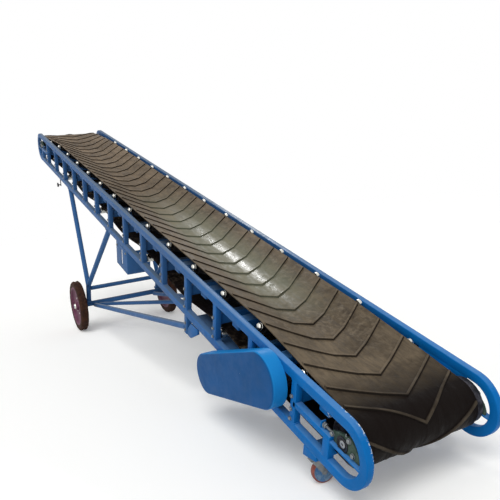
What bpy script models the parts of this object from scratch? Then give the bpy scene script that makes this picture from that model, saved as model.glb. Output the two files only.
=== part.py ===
"""Portable belt conveyor: two tubular side frames, troughed chevron belt, wheeled undercarriage.

Metres, +Z up, +X towards the discharge head, +Y the side with the drive guard.
Conveyor pieces are made in the frame's own plane (s along the belt, y across,
n square to the belt) and tilted onto the wheels at the end.
"""
import math

import bmesh
import bpy
from mathutils import Matrix, Vector

# Fit between touching pieces and running clearances
FIT = 0.0003
RUN = 0.0003
SIDE_CLEAR = 0.006

# Side frames of rectangular tube
FRAME_DEPTH = 0.33
CHORD = 0.05
TUBE_DEPTH = 0.038
EDGE_GAP = 0.037
BEND_SPAN = 6.34
BEND_SIDES = 12
POST_WIDTH = 0.042
POST_INSET = 0.0005
STATION_PITCH = 0.4264
FIRST_STATION = 0.401
STATIONS = 14
RAIL_HEIGHT = 0.030
RAIL_TOP = 0.005
LEDGE = 0.009
STRUT = (0.068, 0.115)
SCREW_LUG = (0.140, 0.146)

# Belt
BELT_WIDTH = 0.65
BELT_TRACK = 0.018
BELT_THICK = 0.008
CENTRE_ROLL = 0.22
TROUGH_DEG = 20.0
BELT_SEAT = 0.112
RETURN_SEAT = -0.048
BELT_SAG = 0.050
SAG_STEP = 0.16
RETURN_PAD = 0.06
RETURN_GAP = 0.0008
RIB_PITCH = 0.1845
RIB_APEX_S = 0.044
RIB_SPLICE = 0.140
RIB_HEIGHT = 0.009
RIB_WIDTH = 0.024
RIB_MARGIN = 0.010
RIB_SLOPE = 0.60
RAMP_STEP = 0.08
RAMP_DROP = 0.002

# Rollers and pulleys
ROLLER_R = 0.0315
ROLLER_SIDES = 8
SHAFT_R = 0.009
CAP_R = 0.018
STAND_THICK = 0.006
STAND_WIDTH = 0.036
STAND_EDGE = 0.030
WING_END = 0.027
PULLEY_R = 0.111
PULLEY_SIDES = 24
PULLEY_OVERHANG = 0.007
PULLEY_SHAFT_R = 0.0175
SHAFT_INSET = 0.010
HOUSING_GAP = 0.020
HOUSING_THICK = 0.026
BOSS_R = 0.028
BOSS_STEP = 0.004
PULLEY_INSET = 0.02
PULLEY_N = 0.014
DRUM_S = 0.62
DRUM_N = -0.028
DRUM_R = 0.060
DRUM_SIDES = 20

# Deck ladder under the belt
DECK_TOP = 0.100
DECK_DEPTH = 0.050
RUNG_WIDTH = 0.072
STRINGER = (0.125, 0.140)
SIDE_STRIP = (0.078, 0.118)
STRIP_INSET = 0.04
STRIP_THICK = 0.003
BAR_WIDTH = 0.040
BAR_LEVELS = (-0.025, 0.044)

# Slope and wheels
TILT_DEG = 16.93
WHEEL_R = 0.268
TYRE_DEPTH = 0.060
TYRE_WIDTH = 0.085
WHEEL_GAP = 0.058
WHEEL_SIDES = 30
AXLE_S = 4.33
STUB_R = 0.015
CASTER_R = 0.057
CASTER_TREAD = 0.032
CASTER_TRAIL = 0.040
CASTER_TRAIL_DEG = -100.0
CASTER_PIN_R = 0.006
CASTER_SEAT_Z = 0.135
CASTER_S = 0.2165
CASTER_INSET = 0.025
CHANNEL_DEPTH = 0.0405
CHANNEL_WIDTH = 0.100

# Undercarriage
LEG_R = 0.024
UPRIGHT_R = 0.025
BRACE_R = 0.022
CROSS_BRACE_R = 0.019
AXLE_R = 0.027
LEG_TOPS = (4.87, 3.43)
JOINT_S = 4.306
JOINT_N = -1.093
LEG_INSET = 0.008
LUG_STATION = 3
LUG_DROP = 0.129
STUB_PLATE = ((1.645, -0.262), (1.582, -0.188), (1.495, -0.180), (1.478, -0.190), (1.478, -0.215),
              (1.580, -0.292), (1.605, -0.296), (1.645, -0.290))

# Drive
GUARD_DEPTH = 0.080
GUARD_SKIN = 0.003
GUARD_BIG = (0.575, 0.021, 0.147)
GUARD_SMALL_R = 0.122
SHEAVE_GAP = 0.016
SHEAVE_WIDTH = 0.036
SHEAVE_BIG_R = 0.105
SHEAVE_SMALL_R = 0.055
MOTOR_S = 1.183
MOTOR_DROP = 0.140
MOTOR_INSET = 0.10
MOTOR_LENGTH = 0.32
MOTOR_R = 0.082
MOTOR_SHAFT_R = 0.014
COWL_LENGTH = 0.04
COWL_R = 0.088
FOOT_WIDTH = 0.06
FOOT_HALF = 0.075
PLATE_ENDS = (0.95, 1.63)
PLATE_THICK = 0.008
BEARING_HALF = 0.055

# Small fittings under the left chord
HANGER_ENDS = (2.87, 3.16)
HANGER_DROP = 0.205
HANGER_PLATE = 0.008
HANGER_RETURN = 0.20
KNOB_S = 5.35
KNOB_DROP = 0.080

COLOURS = {
    "blue": ((0.012, 0.170, 0.475, 1), 0.0, 0.42),
    "belt": ((0.045, 0.036, 0.028, 1), 0.0, 0.45),
    "zinc": ((0.55, 0.55, 0.56, 1), 0.9, 0.32),
    "roller": ((0.10, 0.10, 0.11, 1), 0.3, 0.45),
    "cast": ((0.16, 0.22, 0.20, 1), 0.2, 0.60),
    "tyre": ((0.075, 0.045, 0.035, 1), 0.0, 0.75),
    "rim": ((0.19, 0.045, 0.14, 1), 0.1, 0.50),
    "tread": ((0.25, 0.06, 0.04, 1), 0.0, 0.55),
    "motor": ((0.10, 0.13, 0.16, 1), 0.1, 0.50),
}

# Stations that also carry a return roller
RETURN_STATIONS = (2, 5, 8, 11)

TILT = math.radians(TILT_DEG)
TAIL_HEIGHT = (CASTER_SEAT_Z - CASTER_S * math.sin(TILT)
               + (FRAME_DEPTH / 2 + CHANNEL_DEPTH) * math.cos(TILT))
TAIL_S = PULLEY_INSET
HEAD_S = BEND_SPAN - PULLEY_INSET
FRAME_WIDTH = BELT_WIDTH + 2 * (EDGE_GAP + TUBE_DEPTH)
PULLEY_FACE = BELT_WIDTH + 2 * (BELT_TRACK + PULLEY_OVERHANG)
RIB_REACH = BELT_WIDTH / 2 - RIB_MARGIN
RETURN_AXLE = RETURN_SEAT - BELT_THICK - RIB_HEIGHT - RETURN_GAP - ROLLER_R
MOTOR_N = -FRAME_DEPTH / 2 - MOTOR_DROP
MIDDLE_X = BEND_SPAN * math.cos(TILT) / 2
TO_WORLD = Matrix.Translation((-MIDDLE_X, 0, TAIL_HEIGHT)) @ Matrix.Rotation(-TILT, 4, "Y")
HALF = FRAME_WIDTH / 2
INNER = HALF - TUBE_DEPTH
LEG_Y = HALF - LEG_INSET
WHEEL_INNER_Y = HALF + WHEEL_GAP
RIM_R = WHEEL_R - TYRE_DEPTH
TROUGH = math.tan(math.radians(TROUGH_DEG))


def world(s, y, n):
    """Place of a point of the conveyor's own plane in the room."""
    return TO_WORLD @ Vector((s, y, n))


def plane_n(s, z):
    """Height n, at s, of a point that stands z above the floor."""
    return (z - TAIL_HEIGHT - s * math.sin(TILT)) / math.cos(TILT)


def make(name, bm):
    """Close a bmesh into a mesh object."""
    bmesh.ops.remove_doubles(bm, verts=bm.verts, dist=1e-6)
    bmesh.ops.recalc_face_normals(bm, faces=bm.faces)
    mesh = bpy.data.meshes.new(name)
    bm.to_mesh(mesh)
    bm.free()
    obj = bpy.data.objects.new(name, mesh)
    bpy.context.scene.collection.objects.link(obj)
    return obj


def box(s, y, n):
    """Box between three pairs of limits."""
    bm = bmesh.new()
    bmesh.ops.create_cube(bm, size=1)
    size = Matrix.Diagonal((s[1] - s[0], y[1] - y[0], n[1] - n[0], 1))
    mid = Matrix.Translation(((s[0] + s[1]) / 2, (y[0] + y[1]) / 2, (n[0] + n[1]) / 2))
    bmesh.ops.transform(bm, matrix=mid @ size, verts=bm.verts)
    return make("box", bm)


def rod(start, end, radius, sides=12, radius_end=None):
    """Round bar between two points."""
    start, end = Vector(start), Vector(end)
    axis = end - start
    bm = bmesh.new()
    bmesh.ops.create_cone(bm, cap_ends=True, segments=sides, radius1=radius,
                          radius2=radius if radius_end is None else radius_end,
                          depth=axis.length)
    turn = axis.to_track_quat("Z", "X").to_matrix().to_4x4()
    bmesh.ops.transform(bm, matrix=Matrix.Translation((start + end) / 2) @ turn, verts=bm.verts)
    return make("rod", bm)


def lathe(profile, origin, axis, sides):
    """Ring body from a closed (radius, along) profile turned about an axis."""
    turn = Vector(axis).to_track_quat("Z", "X").to_matrix().to_4x4()
    place = Matrix.Translation(Vector(origin)) @ turn
    bm = bmesh.new()
    rings = []
    for i in range(sides):
        a = 2 * math.pi * i / sides
        rings.append([bm.verts.new(place @ Vector((r * math.cos(a), r * math.sin(a), h)))
                      for r, h in profile])
    count = len(profile)
    for i in range(sides):
        ring, after = rings[i], rings[(i + 1) % sides]
        for k in range(count):
            m = (k + 1) % count
            bm.faces.new((ring[k], ring[m], after[m], after[k]))
    return make("lathe", bm)


def spindle(steps, origin, axis, sides):
    """Solid round body from (from, to, radius) steps along an axis."""
    turn = Vector(axis).to_track_quat("Z", "X").to_matrix().to_4x4()
    place = Matrix.Translation(Vector(origin)) @ turn
    bm = bmesh.new()
    rings = []
    for low, high, r in steps:
        for h in (low, high):
            rings.append([bm.verts.new(place @ Vector((r * math.cos(a), r * math.sin(a), h)))
                          for a in (2 * math.pi * i / sides for i in range(sides))])
    for ring, after in zip(rings, rings[1:]):
        for i in range(sides):
            j = (i + 1) % sides
            bm.faces.new((ring[i], ring[j], after[j], after[i]))
    bm.faces.new(rings[0])
    bm.faces.new(rings[-1])
    return make("spindle", bm)


def slab(outline, y):
    """Plate with an outline in the (s, n) plane, between two y values."""
    bm = bmesh.new()
    near = [bm.verts.new((s, y[0], n)) for s, n in outline]
    far = [bm.verts.new((s, y[1], n)) for s, n in outline]
    bm.faces.new(near)
    bm.faces.new(list(reversed(far)))
    for i, vert in enumerate(near):
        j = (i + 1) % len(near)
        bm.faces.new((near[j], vert, far[i], far[j]))
    return make("slab", bm)


def combine(base, tools, operation):
    """Apply Booleans of the tools to the base and drop the tools."""
    for tool in tools:
        tool.hide_render = True
        tool.display_type = "WIRE"
        step = base.modifiers.new("bool", "BOOLEAN")
        step.operation = operation
        step.solver = "EXACT"
        step.object = tool
    graph = bpy.context.evaluated_depsgraph_get()
    mesh = bpy.data.meshes.new_from_object(base.evaluated_get(graph))
    base.modifiers.clear()
    base.data = mesh
    for tool in tools:
        bpy.data.objects.remove(tool)
    return base


def fuse(pieces):
    """One closed body from overlapping pieces."""
    return combine(pieces[0], pieces[1:], "UNION")


def cut(base, tools):
    """Body with the tools taken out."""
    return combine(base, tools, "DIFFERENCE")


def finish(obj, name, colour, tilted=True, smooth=30):
    """Name, tilt, paint and shade a finished piece."""
    obj.name = name
    obj.data.name = name
    if tilted:
        obj.data.transform(TO_WORLD)
    rgba, metal, rough = COLOURS[colour]
    paint = bpy.data.materials.new(name + "_" + colour)
    paint.use_nodes = True
    shader = paint.node_tree.nodes["Principled BSDF"]
    shader.inputs["Base Color"].default_value = rgba
    shader.inputs["Metallic"].default_value = metal
    shader.inputs["Roughness"].default_value = rough
    paint.diffuse_color = rgba
    obj.data.materials.clear()
    obj.data.materials.append(paint)
    obj.data.polygons.foreach_set("use_smooth", [True] * len(obj.data.polygons))
    obj.data.set_sharp_from_angle(angle=math.radians(smooth))
    return obj


def station(i):
    """Place along the belt of carrying roller set i."""
    return FIRST_STATION + i * STATION_PITCH


def racetrack(radius, span):
    """Closed outline with a half circle at each end."""
    points = []
    for middle, start in ((span, -90), (0.0, 90)):
        for k in range(BEND_SIDES + 1):
            a = math.radians(start + 180 * k / BEND_SIDES)
            points.append((middle + radius * math.cos(a), radius * math.sin(a)))
    return points


def side_frame(side):
    """Welded side frame: bent tube loop, posts, end rails, brace lug and return brackets."""
    face = sorted((side * INNER, side * HALF))
    thin = sorted((side * (INNER + POST_INSET), side * (HALF - POST_INSET)))
    radius = FRAME_DEPTH / 2
    loop = cut(slab(racetrack(radius, BEND_SPAN), face),
               [slab(racetrack(radius - CHORD, BEND_SPAN), (face[0] - 0.01, face[1] + 0.01))])
    reach = radius - CHORD / 2
    pieces = [loop]
    for i in range(STATIONS):
        edge = station(i)
        foot = -radius - LUG_DROP if i == LUG_STATION else -reach
        pieces.append(box((edge - POST_WIDTH, edge), thin, (foot, reach)))
    pieces.append(slab(STUB_PLATE, sorted((side * (HALF - 0.020), side * (HALF - 0.004)))))
    low = RAIL_TOP - RAIL_HEIGHT
    ledge_y = sorted((side * (INNER + 2 * POST_INSET), side * (HALF - 2 * POST_INSET)))
    lug_y = sorted((side * (INNER + 0.006), side * (HALF - 0.006)))
    for end, way, post in ((0.0, 1, station(0)), (BEND_SPAN, -1, station(STATIONS - 1))):
        strut = [end + way * (PULLEY_INSET + x) for x in STRUT]
        inner_post = post - POST_WIDTH / 2
        pieces.append(box(sorted((strut[0], inner_post)), thin, (low, RAIL_TOP)))
        pieces.append(box(sorted((end - way * reach, strut[1])), ledge_y,
                          (low + 0.001, low + 0.001 + LEDGE)))
        pieces.append(box(sorted(strut), thin, (-reach, low + 0.005)))
        lug = sorted(end + way * (PULLEY_INSET + x) for x in SCREW_LUG)
        pieces.append(box(lug, lug_y, (RAIL_TOP - 0.005, PULLEY_N + 0.026)))
    strip_y = sorted((side * (INNER + POST_INSET), side * (INNER + POST_INSET + STRIP_THICK)))
    pieces.append(box((STRIP_INSET, BEND_SPAN - STRIP_INSET), strip_y, SIDE_STRIP))
    for i in RETURN_STATIONS:
        plate_y = sorted((side * (INNER - STAND_THICK), side * (INNER + 0.0015)))
        pieces.append(box((station(i) - 0.03, station(i) + 0.03), plate_y,
                          (CHORD - radius - 0.03, RETURN_AXLE + 0.02)))
    return fuse(pieces)


def idler_seat(i):
    """Belt height and trough share at carrying set i."""
    s = station(i)
    first, last = station(1), station(STATIONS - 2)
    if s < first:
        share = (s - TAIL_S) / (first - TAIL_S)
    elif s > last:
        share = (HEAD_S - s) / (HEAD_S - last)
    else:
        share = 1.0
    top = PULLEY_N + PULLEY_R + FIT
    return top + (BELT_SEAT - top) * share - (RAMP_DROP if share < 1.0 else 0.0), share


def carrying_set(i):
    """Three-roller trough set: stands on the cross bar, rollers and their end caps."""
    s = station(i)
    seat, share = idler_seat(i)
    slope = math.atan(TROUGH * share)
    wing = seat - (ROLLER_R + FIT) / math.cos(slope)
    seat -= ROLLER_R + FIT
    inner, outer = CENTRE_ROLL / 2, INNER - STAND_EDGE
    base = BAR_LEVELS[1] + FIT
    stand = (s - STAND_WIDTH / 2, s + STAND_WIDTH / 2)
    end = inner - 0.001 + STAND_THICK / 2
    pieces = [rod((s, -end, seat), (s, end, seat), ROLLER_R, ROLLER_SIDES)]

    def on_wing(side, y):
        return Vector((s, side * y, wing + (y - inner) * math.tan(slope)))

    for side in (-1, 1):
        top = on_wing(side, outer).z
        pieces.append(rod(on_wing(side, inner + 0.014), on_wing(side, outer - WING_END), ROLLER_R,
                          ROLLER_SIDES))
        y_in = sorted((side * (inner - 0.001), side * (inner - 0.001 + STAND_THICK)))
        pieces.append(box(stand, y_in, (base, seat + 0.012)))
        y_out = sorted((side * outer, side * (outer + STAND_THICK)))
        pieces.append(box(stand, y_out, (base, top + 0.010)))
        pieces.append(rod((s, side * inner, wing), on_wing(side, inner + 0.03), SHAFT_R, 4))
        pieces.append(rod(on_wing(side, outer - WING_END - 0.002), on_wing(side, outer + 0.014), CAP_R, 8))
    return fuse(pieces)


def return_roller(i):
    """Flat return roller between the brackets of station i."""
    half = PULLEY_FACE / 2
    reach = INNER - STAND_THICK - FIT
    steps = ((-reach, -half, SHAFT_R), (-half, half, ROLLER_R), (half, reach, SHAFT_R))
    return spindle(steps, (station(i), 0, RETURN_AXLE), (0, 1, 0), 12)


def deck_ladder():
    """Rungs between the stations and deep bars at them, on two stringers under the belt."""
    reach = INNER + POST_INSET - FIT
    low, high = DECK_TOP - DECK_DEPTH, DECK_TOP
    levels = (BAR_LEVELS[1] - 0.010, low + 0.002)
    pieces = []
    for side in (-1, 1):
        pieces.append(box((station(0) - STATION_PITCH / 2, station(STATIONS - 1)),
                          sorted((side * STRINGER[0], side * STRINGER[1])), levels))
    for i in range(STATIONS):
        at = station(i)
        mid = at - STATION_PITCH / 2
        pieces.append(box((at - BAR_WIDTH / 2, at + BAR_WIDTH / 2), (-reach, reach), BAR_LEVELS))
        pieces.append(box((mid - RUNG_WIDTH / 2, mid + RUNG_WIDTH / 2), (-reach, reach), (low, high)))
    return fuse(pieces)


def pulley(s):
    """Plain drum on its shaft."""
    face, end = PULLEY_FACE / 2, HALF - SHAFT_INSET
    steps = ((-end, -face, PULLEY_SHAFT_R), (-face, face, PULLEY_R), (face, end, PULLEY_SHAFT_R))
    return spindle(steps, (s, 0, PULLEY_N), (0, 1, 0), PULLEY_SIDES)


def bearing(s, side, way):
    """Cast take-up housing on the ledge, rounded to the bend, with its adjusting screw."""
    high = HALF - 2 * BOSS_STEP
    low = high - HOUSING_THICK
    base = RAIL_TOP - RAIL_HEIGHT + 0.001 + LEDGE + FIT
    bend = FRAME_DEPTH / 2 - CHORD - HOUSING_GAP
    step, over = STRUT[0] - 0.004, STRUT[0] + 0.012
    outline = [(step, base), (step, RAIL_TOP + 0.004), (over, RAIL_TOP + 0.004), (over, PULLEY_N + BOSS_R),
               (0.042, bend * 0.74)]
    for k in range(7):
        a = math.radians(80 + 18 * k)
        outline.append((bend * math.cos(a) - PULLEY_INSET, bend * math.sin(a)))
    outline.append((-bend - PULLEY_INSET, base))
    screw_n, screw_y = PULLEY_N + 0.008, side * (low + HOUSING_THICK / 2)
    pieces = [slab([(s + way * x, n) for x, n in outline], sorted((side * low, side * high))),
              rod((s, side * (high - 0.002), PULLEY_N), (s, side * (high + BOSS_STEP), PULLEY_N),
                  BOSS_R, 16)]
    for start, stop, r, sides in ((STRUT[0], SCREW_LUG[0] - FIT, 0.007, 6),
                                  (SCREW_LUG[0] - 0.022, SCREW_LUG[0] - 0.010, 0.014, 6)):
        pieces.append(rod((s + way * start, screw_y, screw_n), (s + way * stop, screw_y, screw_n), r, sides))
    bore = (PULLEY_SHAFT_R + FIT) / math.cos(math.pi / 16)
    hole = rod((s, side * (low - 0.02), PULLEY_N), (s, side * (HALF + 0.02), PULLEY_N), bore, 16)
    return cut(fuse(pieces), [hole])


def return_line():
    """Inner line of the lower strand from the head to the drive drum, sagging between supports."""
    low_head = PULLEY_N - PULLEY_R - 3 * FIT
    low_drum = DRUM_N - DRUM_R - 3 * FIT
    rollers = [(station(i), RETURN_SEAT) for i in reversed(RETURN_STATIONS)]
    stops = [(HEAD_S, low_head)] + rollers + [(DRUM_S, low_drum)]
    line = []
    for (s0, n0), (s1, n1) in zip(stops, stops[1:]):
        if line:
            line.append((s0 - RETURN_PAD, n0))
        dip = max(0.0, BELT_SAG - abs(n0 - n1))
        parts = round((s0 - s1) / SAG_STEP)
        for k in range(1, parts):
            t = k / parts
            ease = (1 - math.cos(math.pi * t)) / 2
            drop = dip * (1 - math.cos(2 * math.pi * t)) / 2
            line.append((s0 + (s1 - s0) * t, n0 + (n1 - n0) * ease - drop))
        line.append((s1 + RETURN_PAD, n1))
    line.append((DRUM_S - RETURN_PAD, low_drum))
    return line


class Path:
    """Inner line of the belt: corner points with arcs at both pulleys."""

    def __init__(self):
        r = PULLEY_R + 3 * FIT
        arc = 12
        turns = [math.radians(-90 - 180 * k / arc) for k in range(arc + 1)]
        run = [(TAIL_S + r * math.cos(a), PULLEY_N + r * math.sin(a)) for a in turns]
        run += [(station(1), BELT_SEAT), (station(STATIONS - 2), BELT_SEAT)]
        run += [(HEAD_S - r * math.cos(a), PULLEY_N - r * math.sin(a)) for a in turns]
        run += return_line()
        self.points = run
        self.marks = [0.0]
        for a, b in zip(run, run[1:] + run[:1]):
            self.marks.append(self.marks[-1] + math.dist(a, b))
        self.length = self.marks[-1]
        self.zones = [(0.0, self.marks[arc]), (self.marks[arc + 3], self.marks[2 * arc + 3]),
                      (self.length, self.length + self.marks[arc])]
        self.ramps = [(self.marks[arc], self.marks[arc + 1]), (self.marks[arc + 2], self.marks[arc + 3])]
        self.start = self.marks[arc] + RIB_APEX_S - TAIL_S - RIB_WIDTH / 2

    def at(self, u):
        """Point, outward normal and trough share at u along the belt."""
        u %= self.length
        k = max(i for i, mark in enumerate(self.marks[:-1]) if mark <= u)
        a, b = self.points[k], self.points[(k + 1) % len(self.points)]
        gap = self.marks[k + 1] - self.marks[k]
        t = (u - self.marks[k]) / gap
        s, n = a[0] + (b[0] - a[0]) * t, a[1] + (b[1] - a[1]) * t
        nrm = Vector((-(b[1] - a[1]), 0, b[0] - a[0])).normalized()
        if t < 1e-6:
            c = self.points[k - 1]
            nrm = (nrm + Vector((-(a[1] - c[1]), 0, a[0] - c[0])).normalized()).normalized()
        first, last = station(1), station(STATIONS - 2)
        share = 0.0
        if n > PULLEY_N and TAIL_S <= s <= HEAD_S:
            share = min(1.0, (s - TAIL_S) / (first - TAIL_S), (HEAD_S - s) / (HEAD_S - last))
        return Vector((s, 0, n)), nrm, share

    def point(self, u, v, lift):
        """Belt surface point at v across the flat belt, lifted from the inner face."""
        foot, nrm, share = self.at(u)
        slope, fold = math.atan(TROUGH * share), CENTRE_ROLL / 2
        wing = max(0.0, abs(v) - fold)
        spot = foot + nrm * (lift + wing * math.sin(slope))
        return (spot.x, math.copysign(min(abs(v), fold) + wing * math.cos(slope), v), spot.z)


def belt():
    """Endless belt with chevron ribs, closer together at the splice, as one closed skin."""
    path = Path()
    count = 1 + round((path.length - RIB_SPLICE) / RIB_PITCH)
    pitch = (path.length - RIB_SPLICE) / (count - 1)
    edge, fold, mid = BELT_WIDTH / 2, CENTRE_ROLL / 2, BELT_TRACK
    tips = (mid - RIB_REACH, mid + RIB_REACH)
    coarse = [mid - edge, tips[0], -fold, mid, fold, tips[1], mid + edge]
    fine = sorted(coarse + [(mid - fold) / 2, (mid + fold) / 2]
                  + [tips[0] + (-fold - tips[0]) * k / 3 for k in (1, 2)]
                  + [fold + (tips[1] - fold) * k / 3 for k in (1, 2)])
    steps = [(0.0, 0.0), (RIB_WIDTH / 2, 1.0), (RIB_WIDTH, 0.0)]
    used = steps[-1][0]
    sweep = RIB_REACH * RIB_SLOPE
    bm = bmesh.new()
    rows = []
    for k in range(count):
        begin = (path.start + k * pitch) % path.length
        room = (RIB_SPLICE if k == count - 1 else pitch) - used
        more = [(used + room * j / 4, 0.0) for j in (1, 2, 3)]
        near = any(lo - sweep - pitch < begin < hi for lo, hi in path.zones + path.ramps)
        for shift, rise in steps + (more if near else []):
            u = begin + shift
            close = any(lo - 0.03 < u + sweep and u < hi + 0.03 for lo, hi in path.zones)
            row = []
            for v in fine if close else coarse:
                tall = BELT_THICK + (RIB_HEIGHT * rise if tips[0] < v < tips[1] else 0.0)
                lag = min(abs(v - mid), RIB_REACH) * RIB_SLOPE
                row.append((v, bm.verts.new(path.point(u + lag, v, tall))))
            rows.append((u, row))
    for (_, a), (_, b) in zip(rows, rows[1:] + rows[:1]):
        stitch(bm, a, b)
    inner_marks = []
    for lo, hi in zip(path.marks, path.marks[1:]):
        longest = RAMP_STEP if (lo, hi) in path.ramps else 0.6
        parts = max(1, math.ceil((hi - lo) / longest))
        inner_marks += [lo + (hi - lo) * j / parts for j in range(parts)]
    inner = []
    for u in inner_marks:
        inner.append((u, [(v, bm.verts.new(path.point(u, v, 0.0)))
                          for v in (mid - edge, -fold, fold, mid + edge)]))
    for (_, a), (_, b) in zip(inner, inner[1:] + inner[:1]):
        stitch(bm, b, a)
    for end, flip in ((0, False), (-1, True)):
        outer_edge = [(u + sweep, row[end][1]) for u, row in rows]
        inner_edge = [(u, row[end][1]) for u, row in inner]
        zip_edges(bm, outer_edge, inner_edge, path.length, flip)
    return make("belt", bm)


def stitch(bm, a, b):
    """Faces between two rows that share their coarse columns."""
    shared = [y for y, _ in a if any(abs(y - z) < 1e-9 for z, _ in b)]
    for y0, y1 in zip(shared, shared[1:]):
        low = [v for y, v in a if y0 - 1e-9 <= y <= y1 + 1e-9]
        top = [v for y, v in b if y0 - 1e-9 <= y <= y1 + 1e-9]
        bm.faces.new(low + list(reversed(top)))


def zip_edges(bm, outer, inner, length, flip):
    """Triangles between two closed edge lines of the belt's side."""
    lines = []
    for line in (outer, inner):
        order = sorted(range(len(line)), key=lambda k: line[k][0] % length)
        lines.append([(line[k][0] % length, line[k][1]) for k in order])

    def get(line, k):
        u, vert = line[k % len(line)]
        return u + length * (k // len(line)), vert

    a = b = 0
    outer, inner = lines
    while a < len(outer) or b < len(inner):
        corner = [get(outer, a)[1], get(inner, b)[1]]
        if b >= len(inner) or (a < len(outer) and get(outer, a + 1)[0] <= get(inner, b + 1)[0]):
            face = [corner[0], get(outer, a + 1)[1], corner[1]]
            a += 1
        else:
            face = [corner[0], get(inner, b + 1)[1], corner[1]]
            b += 1
        bm.faces.new(face if not flip else face[::-1])


def leg(side):
    """V of two tubes from the bottom chord to the upright over the axle."""
    top_y, low_y = side * (HALF - TUBE_DEPTH / 2), side * LEG_Y
    joint = Vector((JOINT_S, low_y, JOINT_N))
    seat = -FRAME_DEPTH / 2 - FIT
    pieces = []
    for s in LEG_TOPS:
        pieces.append(rod((s, top_y, seat + 0.02), joint, LEG_R, 12))
        pieces.append(box((s - 0.06, s + 0.06), (top_y - TUBE_DEPTH / 2, top_y + TUBE_DEPTH / 2),
                          (seat - 0.008, seat)))
    foot = axle_point(low_y) + Vector((0, 0, AXLE_R + 0.012))
    pieces.append(rod(joint + (joint - foot).normalized() * 0.03, foot, UPRIGHT_R, 12))
    saddle = axle_point(low_y)
    pieces.append(box((saddle.x - 0.04, saddle.x + 0.04), (low_y - 0.024, low_y + 0.024),
                      (saddle.z + AXLE_R + FIT, saddle.z + AXLE_R + 0.02)))
    return cut(fuse(pieces), [box((0, BEND_SPAN), (-1, 1), (seat, seat + 0.2))])


def axle_point(y):
    """Axle centre in the conveyor's own plane."""
    return Vector((AXLE_S, y, plane_n(AXLE_S, WHEEL_R)))


def axle_beam():
    """Round axle tube with a stub for each wheel."""
    beam = WHEEL_INNER_Y - SIDE_CLEAR
    end = WHEEL_INNER_Y + TYRE_WIDTH + 0.012
    steps = ((-end, -beam, STUB_R), (-beam, beam, AXLE_R), (beam, end, STUB_R))
    return spindle(steps, axle_point(0), (0, 1, 0), 16)


def tyre(side):
    """Solid tyre with rounded shoulders."""
    w, r, bore = TYRE_WIDTH, WHEEL_R, RIM_R + FIT
    profile = [(bore, 0.006), (bore, w - 0.006), (r - 0.034, w), (r - 0.012, w - 0.003), (r, w - 0.018),
               (r, 0.018), (r - 0.012, 0.003), (r - 0.034, 0.0)]
    return lathe(profile, world(*axle_point(side * WHEEL_INNER_Y)), (0, side, 0), WHEEL_SIDES)


def wheel(side):
    """Dished wheel disc with a rim and a bored hub."""
    w, bore = TYRE_WIDTH, (STUB_R + RUN) / math.cos(math.pi / 16)
    profile = [(bore, 0.004), (0.042, 0.004), (0.048, 0.034), (RIM_R - 0.034, 0.036), (RIM_R - 0.016, 0.010),
               (RIM_R, 0.010), (RIM_R, w - 0.010), (RIM_R - 0.016, w - 0.010), (RIM_R - 0.034, w - 0.032),
               (0.048, w - 0.034), (0.042, w - 0.004), (bore, w - 0.004)]
    return lathe(profile, world(*axle_point(side * WHEEL_INNER_Y)), (0, side, 0), WHEEL_SIDES)


def brace(start, end, radius):
    """Tube brace, cut off flush with the head side of its lug."""
    face = station(LUG_STATION) + FIT
    return cut(rod(start, end, radius, 12), [box((face - 0.3, face), (-1, 1), (-1, 1))])


def lug_point(side, drop=0.085):
    """Bolt place on the lug below station 3."""
    s = station(LUG_STATION) - POST_WIDTH / 2
    return Vector((s, side * (HALF - TUBE_DEPTH / 2), -FRAME_DEPTH / 2 - drop))


def braces():
    """Long braces from the axle to the lugs, with one diagonal."""
    made = {}
    for side, name in ((1, "left"), (-1, "right")):
        y = side * (LEG_Y - 0.055)
        start = axle_point(y) + Vector((-AXLE_R - FIT - BRACE_R, 0, 0))
        made[name + "_brace"] = brace(start, lug_point(side), BRACE_R)
    start = axle_point(LEG_Y - 0.11) + Vector((-AXLE_R - BRACE_R - 0.002, 0, 0))
    made["cross_brace"] = brace(start, lug_point(-1, 0.035), CROSS_BRACE_R)
    reach = LEG_Y - UPRIGHT_R - 0.0006
    joint = (JOINT_S, 0, JOINT_N - 0.03)
    made["upper_cross_tube"] = rod((joint[0], -reach, joint[2]), (joint[0], reach, joint[2]), BRACE_R, 12)
    return made


def tail_channel():
    """Cross beam under the tail with a level underside for the casters."""
    top = -FRAME_DEPTH / 2 - FIT
    s0, s1 = CASTER_S - CHANNEL_WIDTH / 2, CASTER_S + CHANNEL_WIDTH / 2
    outline = [(s0, top), (s1, top), (s1, plane_n(s1, CASTER_SEAT_Z)), (s0, plane_n(s0, CASTER_SEAT_Z))]
    return slab(outline, (-HALF, HALF))


def caster_pivot(side):
    """Swivel point on the floor plan."""
    place = world(CASTER_S, side * (HALF - CASTER_INSET), plane_n(CASTER_S, CASTER_SEAT_Z))
    return Vector((place.x, place.y, CASTER_SEAT_Z))


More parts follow.
